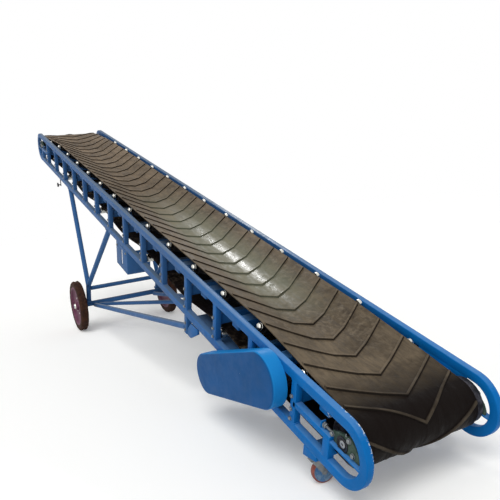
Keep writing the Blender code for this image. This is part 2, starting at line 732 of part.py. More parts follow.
def caster(side):
    """Swivel fork and its wheel, both in room coordinates."""
    pivot = caster_pivot(side)
    angle = math.radians(CASTER_TRAIL_DEG)
    turn = Matrix.Translation((pivot.x, pivot.y, 0)) @ Matrix.Rotation(angle, 4, "Z")
    top = CASTER_SEAT_Z - FIT
    half = CASTER_TREAD / 2 + SIDE_CLEAR
    crown = CASTER_R * 2 + SIDE_CLEAR
    pieces = [rod((0, 0, top - 0.008), (0, 0, top), 0.026, 20)]
    pieces.append(box((-0.024, 0.030), (-half - 0.003, half + 0.003), (crown, top - 0.006)))
    for sign in (-1, 1):
        wide = sorted((sign * half, sign * (half + 0.003)))
        pieces.append(slab([(-0.024, crown + 0.004), (0.030, crown + 0.004),
                            (CASTER_TRAIL + 0.014, CASTER_R + 0.006),
                            (CASTER_TRAIL + 0.010, CASTER_R - 0.012),
                            (CASTER_TRAIL - 0.010, CASTER_R - 0.012),
                            (CASTER_TRAIL - 0.016, CASTER_R + 0.006)], wide))
    pieces.append(rod((CASTER_TRAIL, -half - 0.008, CASTER_R), (CASTER_TRAIL, half + 0.008, CASTER_R),
                      CASTER_PIN_R, 12))
    fork = fuse(pieces)
    bore = (CASTER_PIN_R + RUN) / math.cos(math.pi / 12)
    w = CASTER_TREAD / 2
    profile = [(bore, -w - 0.003), (0.014, -w - 0.003), (0.017, -w + 0.005), (CASTER_R - 0.011, -w + 0.005),
               (CASTER_R - 0.009, -w), (CASTER_R, -w + 0.003), (CASTER_R, w - 0.003), (CASTER_R - 0.009, w),
               (CASTER_R - 0.011, w - 0.005), (0.017, w - 0.005), (0.014, w + 0.003), (bore, w + 0.003)]
    roll = lathe(profile, (CASTER_TRAIL, 0, CASTER_R), (0, 1, 0), 24)
    for obj in (fork, roll):
        obj.data.transform(turn)
    return fork, roll


def guard_outline(extra):
    """Outline around the two sheaves: two arcs and their tangents."""
    (s0, n0, r0), (s1, n1, r1) = GUARD_BIG, (MOTOR_S, MOTOR_N, GUARD_SMALL_R)
    r0, r1 = r0 + extra, r1 + extra
    gap = math.hypot(s1 - s0, n1 - n0)
    heading = math.atan2(n1 - n0, s1 - s0)
    open_angle = math.acos((r0 - r1) / gap)
    points = []
    for s, n, r, lo, hi in ((s0, n0, r0, heading + open_angle, heading + 2 * math.pi - open_angle),
                            (s1, n1, r1, heading - open_angle, heading + open_angle)):
        for k in range(13):
            a = lo + (hi - lo) * k / 12
            points.append((s + r * math.cos(a), n + r * math.sin(a)))
    return points


def drive():
    """Belt drum, guard, motor and the hanging base plate."""
    made = {}
    face, near = PULLEY_FACE / 2, HALF + SHEAVE_GAP
    far = near + SHEAVE_WIDTH
    across = (0, 1, 0)
    made["drive_drum"] = spindle(
        ((0.005 - HALF, -face, PULLEY_SHAFT_R), (-face, face, DRUM_R), (face, near, PULLEY_SHAFT_R),
         (near, far, SHEAVE_BIG_R), (far, far + 0.01, PULLEY_SHAFT_R)), (DRUM_S, 0, DRUM_N), across,
        DRUM_SIDES)
    shell = slab(guard_outline(0.0), (HALF + FIT, HALF + GUARD_DEPTH))
    hollow = slab(guard_outline(-GUARD_SKIN), (HALF - 0.02, HALF + GUARD_DEPTH - GUARD_SKIN))
    made["drive_guard"] = cut(shell, [hollow])
    front = HALF - MOTOR_INSET
    back = front - MOTOR_LENGTH
    motor = [spindle(
        ((back - COWL_LENGTH, back, COWL_R), (back, front, MOTOR_R), (front, near, MOTOR_SHAFT_R),
         (near, far, SHEAVE_SMALL_R), (far, far + 0.006, MOTOR_SHAFT_R)), (MOTOR_S, 0, MOTOR_N), across, 20)]
    top = -FRAME_DEPTH / 2 - FIT
    made["motor_plate"] = box(PLATE_ENDS, (0.005 - HALF, HALF - 0.005), (top - PLATE_THICK, top))
    for mid in (front - 0.04, back + 0.08):
        motor.append(box((MOTOR_S - FOOT_HALF, MOTOR_S + FOOT_HALF),
                         (mid - FOOT_WIDTH / 2, mid + FOOT_WIDTH / 2),
                         (MOTOR_N + 0.03, top - PLATE_THICK - FIT)))
    made["drive_motor"] = fuse(motor)
    bore = (PULLEY_SHAFT_R + FIT) / math.cos(math.pi / 16)
    for side, name in ((1, "left"), (-1, "right")):
        wide = sorted((side * (INNER + POST_INSET), side * (HALF - 0.006)))
        plate = box((DRUM_S - BEARING_HALF, DRUM_S + BEARING_HALF), wide,
                    (CHORD + FIT - FRAME_DEPTH / 2, DRUM_N + BEARING_HALF))
        hole = rod((DRUM_S, side * (HALF - 0.1), DRUM_N), (DRUM_S, side * (HALF + 0.1), DRUM_N), bore, 16)
        made[name + "_drum_bearing"] = cut(plate, [hole])
    return made


def hanger():
    """Slotted hanging bracket under the near chord."""
    top = -FRAME_DEPTH / 2 - FIT
    bottom = top - HANGER_DROP
    s0, s1 = HANGER_ENDS
    near = box((s0, s1), (HALF - HANGER_PLATE, HALF), (bottom, top))
    slot = box((s0 + 0.13, s0 + 0.165), (HALF - 0.02, HALF + 0.02), (bottom + 0.04, top - 0.03))
    side = box((s0, s0 + HANGER_PLATE), (HALF - HANGER_RETURN, HALF - HANGER_PLATE / 2), (bottom, top))
    return fuse([cut(near, [slot]), side])


def knob():
    """Star knob on a short strap under the near chord."""
    top = -FRAME_DEPTH / 2 - FIT
    n = top - KNOB_DROP
    strap = box((KNOB_S - 0.012, KNOB_S + 0.012), (HALF - 0.020, HALF - 0.014), (n - 0.015, top))
    stem = rod((KNOB_S, HALF - 0.018, n), (KNOB_S, HALF + 0.012, n), 0.006, 8)
    star = []
    for k in range(10):
        a = math.radians(36 * k)
        r = 0.026 if k % 2 == 0 else 0.016
        star.append((KNOB_S + r * math.cos(a), n + r * math.sin(a)))
    return fuse([strap, stem, slab(star, (HALF + 0.008, HALF + 0.022))])


def build():
    """Make every piece under its own name."""
    for obj in list(bpy.data.objects):
        bpy.data.objects.remove(obj)
    for side, name in ((1, "left"), (-1, "right")):
        finish(side_frame(side), name + "_side_frame", "blue")
        finish(leg(side), name + "_leg", "blue")
        finish(wheel(side), name + "_road_wheel", "rim", tilted=False)
        finish(tyre(side), name + "_road_tyre", "tyre", tilted=False)
        finish(bearing(TAIL_S, side, 1), name + "_tail_bearing", "cast")
        finish(bearing(HEAD_S, side, -1), name + "_head_bearing", "cast")
        fork, roll = caster(side)
        finish(fork, name + "_caster_fork", "zinc", tilted=False)
        finish(roll, name + "_caster_wheel", "tread", tilted=False)
    for i in range(STATIONS):
        finish(carrying_set(i), "carrying_rollers_%02d" % (i + 1), "roller")
    for k, i in enumerate(RETURN_STATIONS):
        finish(return_roller(i), "return_roller_%d" % (k + 1), "roller")
    finish(deck_ladder(), "deck_ladder", "blue")
    finish(pulley(TAIL_S), "tail_pulley", "roller")
    finish(pulley(HEAD_S), "head_pulley", "roller")
    finish(belt(), "belt", "belt")
    finish(axle_beam(), "axle_beam", "blue")
    finish(tail_channel(), "tail_channel", "blue")
    finish(hanger(), "hanging_bracket", "blue")
    finish(knob(), "star_knob", "motor")
    for name, obj in braces().items():
        finish(obj, name, "blue")
    colours = {"drive_drum": "roller", "drive_motor": "motor", "left_drum_bearing": "cast",
               "right_drum_bearing": "cast"}
    for name, obj in drive().items():
        finish(obj, name, colours.get(name, "blue"))


build()
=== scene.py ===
import math

import bmesh
import bpy
from bpy.props import FloatProperty, FloatVectorProperty, IntProperty, PointerProperty
from mathutils import Matrix, Vector


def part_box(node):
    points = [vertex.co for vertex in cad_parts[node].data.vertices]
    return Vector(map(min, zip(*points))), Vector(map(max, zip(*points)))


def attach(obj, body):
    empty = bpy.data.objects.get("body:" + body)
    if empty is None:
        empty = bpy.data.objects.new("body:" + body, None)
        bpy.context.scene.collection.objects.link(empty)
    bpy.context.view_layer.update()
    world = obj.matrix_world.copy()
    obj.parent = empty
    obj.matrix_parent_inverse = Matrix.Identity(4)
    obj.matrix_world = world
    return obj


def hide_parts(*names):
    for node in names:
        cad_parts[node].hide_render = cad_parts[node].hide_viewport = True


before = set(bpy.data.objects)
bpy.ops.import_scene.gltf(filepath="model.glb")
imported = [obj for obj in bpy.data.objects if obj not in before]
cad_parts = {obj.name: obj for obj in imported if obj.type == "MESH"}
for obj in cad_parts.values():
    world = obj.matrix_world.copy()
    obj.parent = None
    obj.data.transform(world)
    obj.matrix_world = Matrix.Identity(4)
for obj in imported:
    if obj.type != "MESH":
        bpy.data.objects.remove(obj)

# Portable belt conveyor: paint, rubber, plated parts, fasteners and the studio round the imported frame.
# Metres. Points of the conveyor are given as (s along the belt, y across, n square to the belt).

bl_info = {
    "name": "Portable belt conveyor",
    "version": (1, 0, 0),
    "blender": (4, 5, 0),
    "location": "View3D > Sidebar > Conveyor",
    "description": "Dresses the packed belt conveyor in paint, rubber, zinc and fasteners",
    "category": "Object",
}

# Layout of the frame, as in the part's source
BEND_SPAN = 6.34
FRAME_DEPTH = 0.33
CHORD = 0.05
TUBE_DEPTH = 0.038
FIRST_STATION = 0.401
STATION_PITCH = 0.4264
STATIONS = 14
POST_WIDTH = 0.042
POST_INSET = 0.0005
RETURN_STATIONS = (2, 5, 8, 11)
PULLEY_INSET = 0.02
PULLEY_N = 0.014
PULLEY_R = 0.111
ROLLER_R = 0.0315
DRUM_R = 0.060
CENTRE_ROLL = 0.22
TROUGH = math.tan(math.radians(20.0))
BELT_SEAT = 0.112
RETURN_SEAT = -0.048
BELT_SAG = 0.050
RETURN_PAD = 0.06
LIFT = 0.0009
SEAT_GAP = 0.0003
CAP_Y = 0.326
# Undercarriage: the legs' seats and joint in the conveyor's own plane, and the road wheels
LEG_SEATS = (3.43, 4.87)
LEG_S, LEG_N = 4.306, -1.093
LUG_STATION = 3
WHEEL_GAP = 0.058
WHEEL_WIDTH = 0.085
WHEEL_BOLT = 0.010
# Drive: the motor's shaft in the conveyor's own plane, its base plate and the housings' bolts
MOTOR_S, MOTOR_N = 1.183, -FRAME_DEPTH / 2 - 0.140
MOTOR_PLATE = 0.008
HOUSING_BOLT = 0.012
# Point that the picture is taken from
VIEW_POINT = Vector((-4.99355, 1.76450, 1.44643))


def centre(node):
    """Middle of a node's box."""
    low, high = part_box(node)
    return (low + high) / 2


TAIL_MID, HEAD_MID = centre("tail_pulley"), centre("head_pulley")
TILT = math.atan2(HEAD_MID.z - TAIL_MID.z, HEAD_MID.x - TAIL_MID.x)
CONVEYOR = (Matrix.Translation(TAIL_MID) @ Matrix.Rotation(-TILT, 4, "Y")
            @ Matrix.Translation((-PULLEY_INSET, 0, -PULLEY_N)))
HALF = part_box("left_side_frame")[1].y
INNER = HALF - TUBE_DEPTH
REACH = FRAME_DEPTH / 2 - CHORD / 2
ACROSS = Vector((0, 1, 0))


def place(s, y, n):
    """Room position of a point of the conveyor."""
    return CONVEYOR @ Vector((s, y, n))


def facing(s, y, n):
    """Room direction of a direction of the conveyor."""
    return (CONVEYOR.to_3x3() @ Vector((s, y, n))).normalized()


def flat(point):
    """Conveyor position (s, y, n) of a room point."""
    return CONVEYOR.inverted() @ point


def station(i):
    """Place along the belt of carrying roller set i."""
    return FIRST_STATION + i * STATION_PITCH


def trough_share(i):
    """Share of the full trough at carrying roller set i; the belt flattens towards its pulleys."""
    head = BEND_SPAN - PULLEY_INSET
    return min(1.0, (station(i) - PULLEY_INSET) / (station(1) - PULLEY_INSET),
               (head - station(i)) / (head - station(STATIONS - 2)))


def linear(code, alpha=True):
    """Linear colour of an sRGB hex code."""
    parts = [int(code[k:k + 2], 16) / 255 for k in (0, 2, 4)]
    made = [c / 12.92 if c <= 0.04045 else ((c + 0.055) / 1.055) ** 2.4 for c in parts]
    return (*made, 1.0) if alpha else tuple(made)


# Sizes and colours that a user would change

class FinishSettings(bpy.types.PropertyGroup):
    """Colours of the paints and the belt."""
    paint: FloatVectorProperty(name="Frame paint", description="Colour of the sprayed frame",
                               subtype="COLOR", default=linear("0a68b0", False))
    # Colour of faces that look up: dust, and a painted reflection of the sky
    top_sheen_and_dust: FloatVectorProperty(name="Weathered paint", description="Colour of the paint on top faces",
                                  subtype="COLOR", default=linear("4f83bb", False))
    rubber: FloatVectorProperty(name="Belt rubber", description="Colour of the belt's worn top cover",
                                subtype="COLOR", default=linear("6e614f", False))
    disc: FloatVectorProperty(name="Wheel disc", description="Colour of the road wheels' discs",
                              subtype="COLOR", default=linear("552c40", False))


class BeltSettings(bpy.types.PropertyGroup):
    """Sizes of the chevron belt."""
    width: FloatProperty(name="Width", description="Width of the belt", default=0.65, unit="LENGTH")
    track: FloatProperty(name="Track", description="How far the belt runs off centre, towards the guard",
                         default=0.018, unit="LENGTH")
    thickness: FloatProperty(name="Thickness", description="Thickness of the belt between its ribs",
                             default=0.008, unit="LENGTH")
    pitch: FloatProperty(name="Rib pitch", description="Distance from one chevron rib to the next",
                         default=0.1845, unit="LENGTH")
    rib_height: FloatProperty(name="Rib height", description="Height of a rib above the cover",
                              default=0.0088, unit="LENGTH")
    rib_width: FloatProperty(name="Rib width", description="Width of a rib's flat top", default=0.011,
                             unit="LENGTH")
    rib_slope: FloatProperty(name="Rib slope",
                             description="Run of a rib along the belt for its reach across", default=0.60)
    first_apex: FloatProperty(name="First apex",
                              description="Place of the first rib's point along the conveyor",
                              default=0.044, unit="LENGTH")
    splice: FloatProperty(name="Splice pitch",
                          description="Distance between the two ribs at the belt's splice",
                          default=0.140, unit="LENGTH")


class HardwareSettings(bpy.types.PropertyGroup):
    """Sizes of the bolts and caps."""
    bolt: FloatProperty(name="Bolt size", description="Thread diameter of the frame's bolts", default=0.010,
                        unit="LENGTH")
    cap: FloatProperty(name="Cap radius", description="Radius of the domed caps on the rollers' shafts",
                       default=0.0205, unit="LENGTH")
    seed: IntProperty(name="Seed", description="Seed for how far each bolt is turned", default=7)


class StageSettings(bpy.types.PropertyGroup):
    """Studio floor, lamps and lens."""
    floor: FloatVectorProperty(name="Floor", description="Colour of the floor", subtype="COLOR",
                               default=linear("f2f2f0", False))
    sun: FloatProperty(name="Key light", description="Strength of the key light", default=1.5)
    sky: FloatProperty(name="Sky light", description="Strength of the room's light", default=0.50)
    strip: FloatProperty(name="Strip light", description="Power of the strip lamp over the belt, in watts",
                         default=2.2)
    lens: FloatProperty(name="Lens", description="Focal length for a 36 mm sensor, in millimetres",
                        default=42.728)


# Mesh helpers

def loft(bm, rows, closed=False):
    """Adds a skin over rows of points, capped if open. A row of one point is a pole."""
    made = [[bm.verts.new(p) for p in row] for row in rows]
    pairs = list(zip(made, made[1:] + made[:1]))
    for low, high in pairs if closed else pairs[:-1]:
        count = max(len(low), len(high))
        for k in range(count):
            m = (k + 1) % count
            corners = [low[k % len(low)], low[m % len(low)], high[m % len(high)], high[k % len(high)]]
            bm.faces.new(list(dict.fromkeys(corners)))
    if not closed:
        for row in (made[0], made[-1]):
            if len(row) > 2:
                bm.faces.new(row)


def turned(bm, profile, matrix=Matrix.Identity(4), sides=32, closed=False):
    """Adds a body turned about Z from (radius, height) pairs, in a matrix. A radius of 0 is a pole."""
    rows = []
    for radius, height in profile:
        turns = [2 * math.pi * k / sides for k in range(sides)] if radius > 1e-7 else [0.0]
        rows.append([matrix @ Vector((radius * math.cos(a), radius * math.sin(a), height)) for a in turns])
    loft(bm, rows, closed)


def eased(wide, deep, ease, steps=3):
    """Outline of a rectangle with rounded corners."""
    points, mid_x, mid_y = [], wide / 2 - ease, deep / 2 - ease
    for x, y, start in ((1, 1, 0), (-1, 1, 90), (-1, -1, 180), (1, -1, 270)):
        for k in range(steps + 1):
            a = math.radians(start + 90 * k / steps)
            points.append((x * mid_x + ease * math.cos(a), y * mid_y + ease * math.sin(a)))
    return points


def round_outline(radius, sides):
    """Outline of a circle."""
    turns = [2 * math.pi * k / sides for k in range(sides)]
    return [(radius * math.cos(a), radius * math.sin(a)) for a in turns]


def sweep(bm, path, outline, across, closed=False):
    """Adds a bar of one outline along a path; the outline's first axis lies along across."""
    across, count, rows = Vector(across).normalized(), len(path), []
    for k, spot in enumerate(path):
        ahead = path[(k + 1) % count] if closed or k + 1 < count else spot
        behind = path[k - 1] if closed or k else spot
        up = (Vector(ahead) - Vector(behind)).normalized().cross(across).normalized()
        rows.append([Vector(spot) + across * a + up * b for a, b in outline])
    loft(bm, rows, closed)


def tube(bm, start, end, radius, sides=24):
    """Adds a round bar between two points."""
    along = (Vector(end) - Vector(start)).normalized()
    across = along.cross(Vector((0.3, 0.2, 1))).normalized()
    sweep(bm, [start, end], round_outline(radius, sides), across)


def plate(bm, outline, y, bevel=0.0015, matrix=Matrix.Identity(4)):
    """Adds a plate with an outline of (s, n) points between two y values, its edges eased."""
    part = bmesh.new()
    loft(part, [[(s, y[0], n) for s, n in outline], [(s, y[1], n) for s, n in outline]])
    bmesh.ops.recalc_face_normals(part, faces=part.faces)
    sharp = [e for e in part.edges if e.calc_face_angle(0) > 0.6]
    bmesh.ops.bevel(part, geom=sharp, offset=bevel, segments=2, profile=0.5, affect="EDGES",
                    clamp_overlap=True)
    mesh = bpy.data.meshes.new("part")
    bmesh.ops.transform(part, matrix=matrix, verts=part.verts)
    part.to_mesh(mesh)
    part.free()
    bm.from_mesh(mesh)
    bpy.data.meshes.remove(mesh)


def block(bm, s, y, n, side=1, bevel=0.0022, matrix=Matrix.Identity(4)):
    """Adds a box between three pairs of limits, mirrored to a side, its edges eased."""
    (s0, s1), (n0, n1) = sorted(s), sorted(n)
    plate(bm, [(s0, n0), (s1, n0), (s1, n1), (s0, n1)], sorted((side * y[0], side * y[1])), bevel, matrix)


def upright(origin, axis):
    """Matrix that stands +Z along an axis at a point."""
    turn = Vector(axis).to_track_quat("Z", "X").to_matrix().to_4x4()
    return Matrix.Translation(Vector(origin)) @ turn


def shade(bm, mesh, smooth=35):
    """Merges doubles, turns the faces outwards, fills the mesh and marks edges over an angle in degrees."""
    bmesh.ops.remove_doubles(bm, verts=bm.verts, dist=1e-6)
    bmesh.ops.recalc_face_normals(bm, faces=bm.faces)
    bm.to_mesh(mesh)
    bm.free()
    mesh.polygons.foreach_set("use_smooth", [True] * len(mesh.polygons))
    mesh.set_sharp_from_angle(angle=math.radians(smooth))


def linked(name, mesh):
    """Object of a mesh in the scene."""
    obj = bpy.data.objects.new(name, mesh)
    bpy.context.scene.collection.objects.link(obj)
    return obj


def as_object(name, bm, smooth=35, matrix=None):
    """Object from a bmesh, put in place."""
    if matrix:
        bmesh.ops.transform(bm, matrix=matrix, verts=bm.verts)
    mesh = bpy.data.meshes.new(name)
    shade(bm, mesh, smooth)
    return linked(name, mesh)


def fit(obj, material, body, slot, *stands_for):
    """Gives a finished piece its material and body, and hides the nodes it stands for; the slot is not
    used.
    """
    obj.data.materials.clear()
    obj.data.materials.append(material)
    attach(obj, body)
    if stands_for:
        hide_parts(*stands_for)
    return obj


# Node helper, for materials and geometry alike

def node(tree, kind, inputs=None, **settings):
    """Adds a node with its settings and with its inputs set or linked."""
    made = tree.nodes.new(kind)
    for key, value in settings.items():
        setattr(made, key, value)
    for key, value in (inputs or {}).items():
        if isinstance(value, bpy.types.NodeSocket):
            tree.links.new(value, made.inputs[key])
        else:
            made.inputs[key].default_value = value
    return made


def new_tree(name, sockets):
    """Geometry tree with a geometry input and output and the named inputs."""
    tree = bpy.data.node_groups.new(name, "GeometryNodeTree")
    tree.interface.new_socket("Geometry", in_out="INPUT", socket_type="NodeSocketGeometry")
    for label, kind in sockets:
        tree.interface.new_socket(label, in_out="INPUT", socket_type="NodeSocket" + kind)
    tree.interface.new_socket("Geometry", in_out="OUTPUT", socket_type="NodeSocketGeometry")
    return tree, tree.nodes.new("NodeGroupInput").outputs


def end_tree(tree, geometry, material):
    """Ends a geometry tree in real faces with their material."""
    real = node(tree, "GeometryNodeRealizeInstances", {"Geometry": geometry})
    painted = node(tree, "GeometryNodeSetMaterial", {"Geometry": real.outputs[0], "Material": material})
    node(tree, "NodeGroupOutput", {"Geometry": painted.outputs[0]})
    return tree


def bake(obj, tree, values):
    """Runs a tree on an object and keeps the result as its plain mesh, faces outwards."""
    step = obj.modifiers.new("nodes", "NODES")
    step.node_group = tree
    for item in tree.interface.items_tree:
        if item.item_type == "SOCKET" and item.in_out == "INPUT" and item.name in values:
            step[item.identifier] = values[item.name]
    mesh = bpy.data.meshes.new_from_object(obj.evaluated_get(bpy.context.evaluated_depsgraph_get()))
    obj.modifiers.clear()
    obj.data = mesh
    mesh.name = obj.name
    bm = bmesh.new()
    bm.from_mesh(mesh)
    shade(bm, mesh)


# Materials

MATERIALS = {}


def begin(name, rough, metal=0.0, **sockets):
    """Principled material with its plain values set on the shader's own sockets."""
    made = bpy.data.materials.new(name)
    made.use_nodes = True
    tree = made.node_tree
    shader = tree.nodes["Principled BSDF"]
    shader.inputs["Roughness"].default_value = rough
    shader.inputs["Metallic"].default_value = metal
    for key, value in sockets.items():
        shader.inputs[key.replace("_", " ")].default_value = value
    MATERIALS[name] = made
    coords = node(tree, "ShaderNodeTexCoord").outputs["Object"]
    return tree, shader, coords


def noise(tree, coords, millimetres, detail, rough, warp=0.0):
    """Noise whose patches are about this many millimetres across."""
    return node(tree, "ShaderNodeTexNoise",
                {"Vector": coords, "Scale": 1000.0 / millimetres, "Detail": detail,
                 "Roughness": rough, "Distortion": warp}).outputs["Fac"]


def ramp(tree, fac, low, high, out_low=0.0, out_high=1.0):
    """Clamped remap of a value."""
    return node(tree, "ShaderNodeMapRange",
                {"Value": fac, "From Min": low, "From Max": high, "To Min": out_low,
                 "To Max": out_high}).outputs["Result"]


def mix(tree, fac, a, b):
    """Mix of two colours."""
    made = node(tree, "ShaderNodeMix", {0: fac}, data_type="RGBA")
    for socket, value in ((made.inputs[6], a), (made.inputs[7], b)):
        if isinstance(value, bpy.types.NodeSocket):
            tree.links.new(value, socket)
        else:
            socket.default_value = value
    return made.outputs[2]


def multiply(tree, a, b, operation="MULTIPLY"):
    """Two values joined by one sum."""
    return node(tree, "ShaderNodeMath", {0: a, 1: b}, operation=operation).outputs[0]


def bump(tree, shader, height, distance, strength):
    """Puts a height on the shader's normal; distance is the height of the relief in metres."""
    made = node(tree, "ShaderNodeBump", {"Height": height, "Distance": distance, "Strength": strength})
    tree.links.new(made.outputs[0], shader.inputs["Normal"])


def up_facing(tree):
    """How far a face looks up, from 0 to 1."""
    normal = node(tree, "ShaderNodeNewGeometry").outputs["True Normal"]
    z = node(tree, "ShaderNodeSeparateXYZ", {"Vector": normal}).outputs["Z"]
    return ramp(tree, z, 0.55, 0.97)


def along(tree, coords, low, high):
    """How far up the conveyor a point is, from 0 at low to 1 at high, in metres from the tail."""
    x = node(tree, "ShaderNodeSeparateXYZ", {"Vector": coords}).outputs["X"]
    return ramp(tree, x, TAIL_MID.x + low, TAIL_MID.x + high)


def sprayed_enamel(name, colour, top_sheen_and_dust, dust=0.45, greyed=0.88, edge=None):
    """Alkyd enamel sprayed on rolled steel: satin, paler on top with dust and a painted sky reflection,
    greyer up the frame.
    """
    tree, shader, coords = begin(name, 0.42, 0.0, IOR=1.4, Specular_IOR_Level=0.09)
    cloud = noise(tree, coords, 260, 5, 0.6)
    tone = mix(tree, ramp(tree, cloud, 0.35, 0.68), colour, [c * 0.80 for c in colour[:3]] + [1.0])
    patch = noise(tree, coords, 55, 6, 0.65, 0.4)
    # Faces that look up are painted paler: dust on them, and a painted reflection of the sky
    worn = multiply(tree, up_facing(tree), ramp(tree, patch, 0.30, 0.66, dust, 0.9))
    tone = mix(tree, worn, tone, top_sheen_and_dust)
    if edge:
        # Painted light: the rolled rim is painted lighter than the flat face, standing in for light from
        # the tail side
        normal = node(tree, "ShaderNodeNewGeometry").outputs["True Normal"]
        outward_y = node(tree, "ShaderNodeSeparateXYZ", {"Vector": normal}).outputs["Y"]
        tone = mix(tree, ramp(tree, outward_y, 0.85, 0.35), tone, edge)
    # Up the frame the sides turn darker and the paint greyer, most where it looks up
    far = along(tree, coords, 0.3, 2.0)
    film = multiply(tree, far, ramp(tree, patch, 0.2, 0.7, 0.7 * greyed, greyed))
    film = multiply(tree, film, ramp(tree, up_facing(tree), 0, 1, 0.42, 1.1))
    tone = mix(tree, multiply(tree, far, 0.45 * greyed), tone, linear("1b4379"))
    tone = mix(tree, film, tone, linear("586675"))
    # Shovels have chipped the belt side of the tail bend
    level = node(tree, "ShaderNodeVectorMath", {0: coords, 1: (1, 0, 1)}, operation="MULTIPLY").outputs[0]
    bend = node(tree, "ShaderNodeVectorMath", {0: level, 1: place(0, 0, 0)},
                operation="DISTANCE").outputs["Value"]
    inward = node(tree, "ShaderNodeSeparateXYZ", {"Vector": coords}).outputs["Y"]
    knock = multiply(tree, ramp(tree, bend, 0.1595, 0.1615), ramp(tree, bend, 0.185, 0.172))
    knock = multiply(tree, knock, multiply(tree, ramp(tree, inward, INNER + 0.012, INNER + 0.004),
                                           ramp(tree, inward, 0.0, 0.01)))
    knock = multiply(tree, knock, ramp(tree, noise(tree, coords, 15, 4, 0.7), 0.55, 0.57))
    tone = mix(tree, knock, tone, linear("cdd4da"))
    chip = ramp(tree, noise(tree, coords, 11, 8, 0.75), 0.70, 0.715)
    chip = multiply(tree, chip, ramp(tree, cloud, 0.50, 0.56))
    tone = mix(tree, chip, tone, linear("b9c2c9"))
    tree.links.new(tone, shader.inputs["Base Color"])
    tree.links.new(ramp(tree, patch, 0.3, 0.7, 0.34, 0.55), shader.inputs["Roughness"])
    # Orange peel of sprayed paint is about 4 mm across and a few hundredths of a millimetre high
    bump(tree, shader, noise(tree, coords, 6, 2, 0.5), 0.0004, 0.35)


def worn_rubber(name, colour, dark_stain_and_shade, pale_with_sheen, dusty):
    """Vulcanised rubber cover: painted near black as shade where it wraps the tail, painted paler up the
    belt as a sky reflection, polished in a lane with a painted greenish sheen.
    """
    tree, shader, coords = begin(name, 0.5, 0.0, IOR=1.45, Specular_IOR_Level=0.09)
    broad = noise(tree, coords, 420, 5, 0.6, 0.3)
    # Up the belt the cover is painted paler, a painted reflection of the sky
    tone = mix(tree, along(tree, coords, 1.5, 5.5), colour, pale_with_sheen)
    tone = mix(tree, ramp(tree, broad, 0.35, 0.65, 0.0, 0.42), tone, dark_stain_and_shade)
    stain = noise(tree, coords, 150, 6, 0.68, 0.8)
    tone = mix(tree, ramp(tree, stain, 0.50, 0.70, 0.0, 0.42), tone, dark_stain_and_shade)
    # The load rubs the cover in streaks along the belt
    tall = node(tree, "ShaderNodeMapping", {"Vector": coords, "Scale": (0.22, 1.0, 0.22)},
                vector_type="POINT")
    streak = noise(tree, tall.outputs[0], 26, 6, 0.65, 0.5)
    tone = mix(tree, ramp(tree, streak, 0.36, 0.62, 0.42, 0.0), tone, dark_stain_and_shade)
    wrap = noise(tree, coords, 130, 4, 0.6, 0.3)
    # Painted shade: the cover is painted near black where it wraps down round the tail pulley
    edge = multiply(tree, along(tree, coords, -0.03, 0.24), ramp(tree, wrap, 0.3, 0.7, 0.7, 1.3))
    up = facing(0, 0, 1)
    height = node(tree, "ShaderNodeVectorMath", {0: coords, 1: up},
                  operation="DOT_PRODUCT").outputs["Value"]
    height = multiply(tree, height, up.dot(place(0, 0, 0)), "SUBTRACT")
    edge = multiply(tree, edge, ramp(tree, height, -0.03, 0.08))
    tone = mix(tree, edge, dark_stain_and_shade, tone)
    smear = noise(tree, coords, 34, 6, 0.62, 0.3)
    powder = multiply(tree, ramp(tree, smear, 0.48, 0.74, 0.0, 0.55), ramp(tree, broad, 0.42, 0.62))
    tone = mix(tree, multiply(tree, powder, along(tree, coords, 0.05, 0.45)), tone, dusty)
    # Ribs are rubbed paler on top, and their tail-facing flank is painted near black, a painted shade
    stored = node(tree, "ShaderNodeAttribute", attribute_name="rib_marks")
    rib_tops_and_shade = node(tree, "ShaderNodeSeparateXYZ", {"Vector": stored.outputs["Vector"]})
    tone = mix(tree, multiply(tree, rib_tops_and_shade.outputs["X"], ramp(tree, wrap, 0.3, 0.7, 0.04, 0.27)), tone,
               dusty)
    tone = mix(tree, multiply(tree, rib_tops_and_shade.outputs["Y"], 0.85), tone, linear("0f0a08"))
    # Material drops on the middle and polishes a narrow lane there; round the lane the cover is painted
    # greenish against the brown, a painted sheen
    polish = multiply(tree, along(tree, coords, 0.7, 1.2), along(tree, coords, 3.4, 2.4))
    polish = multiply(tree, polish, ramp(tree, height, 0.0, 0.08))
    off_lane = multiply(tree, node(tree, "ShaderNodeSeparateXYZ", {"Vector": coords}).outputs["Y"], 0.028,
                        "ADD")
    off_lane = multiply(tree, off_lane, 0.0, "ABSOLUTE")
    # Painted sheen: a greenish tint round the polished lane
    tone = mix(tree, multiply(tree, polish, ramp(tree, off_lane, 0.22, 0.10, 0.0, 0.45)), tone,
               linear("767b69"))
    polish = multiply(tree, polish, ramp(tree, off_lane, 0.055, 0.012))
    tree.links.new(tone, shader.inputs["Base Color"])
    dull = ramp(tree, streak, 0.35, 0.68, 0.46, 0.76)
    tree.links.new(multiply(tree, dull, ramp(tree, polish, 0, 1, 1.0, 0.50)), shader.inputs["Roughness"])
    # Creases 30 to 90 mm long and 1 mm deep, over a moulded grain drawn coarser than the real 0.3 mm
    crease = noise(tree, coords, 75, 3, 0.5, 0.6)
    grain = noise(tree, coords, 3, 2, 0.6)
    height = multiply(tree, crease, multiply(tree, grain, 0.06), "ADD")
    bump(tree, shader, height, 0.010, 0.55)


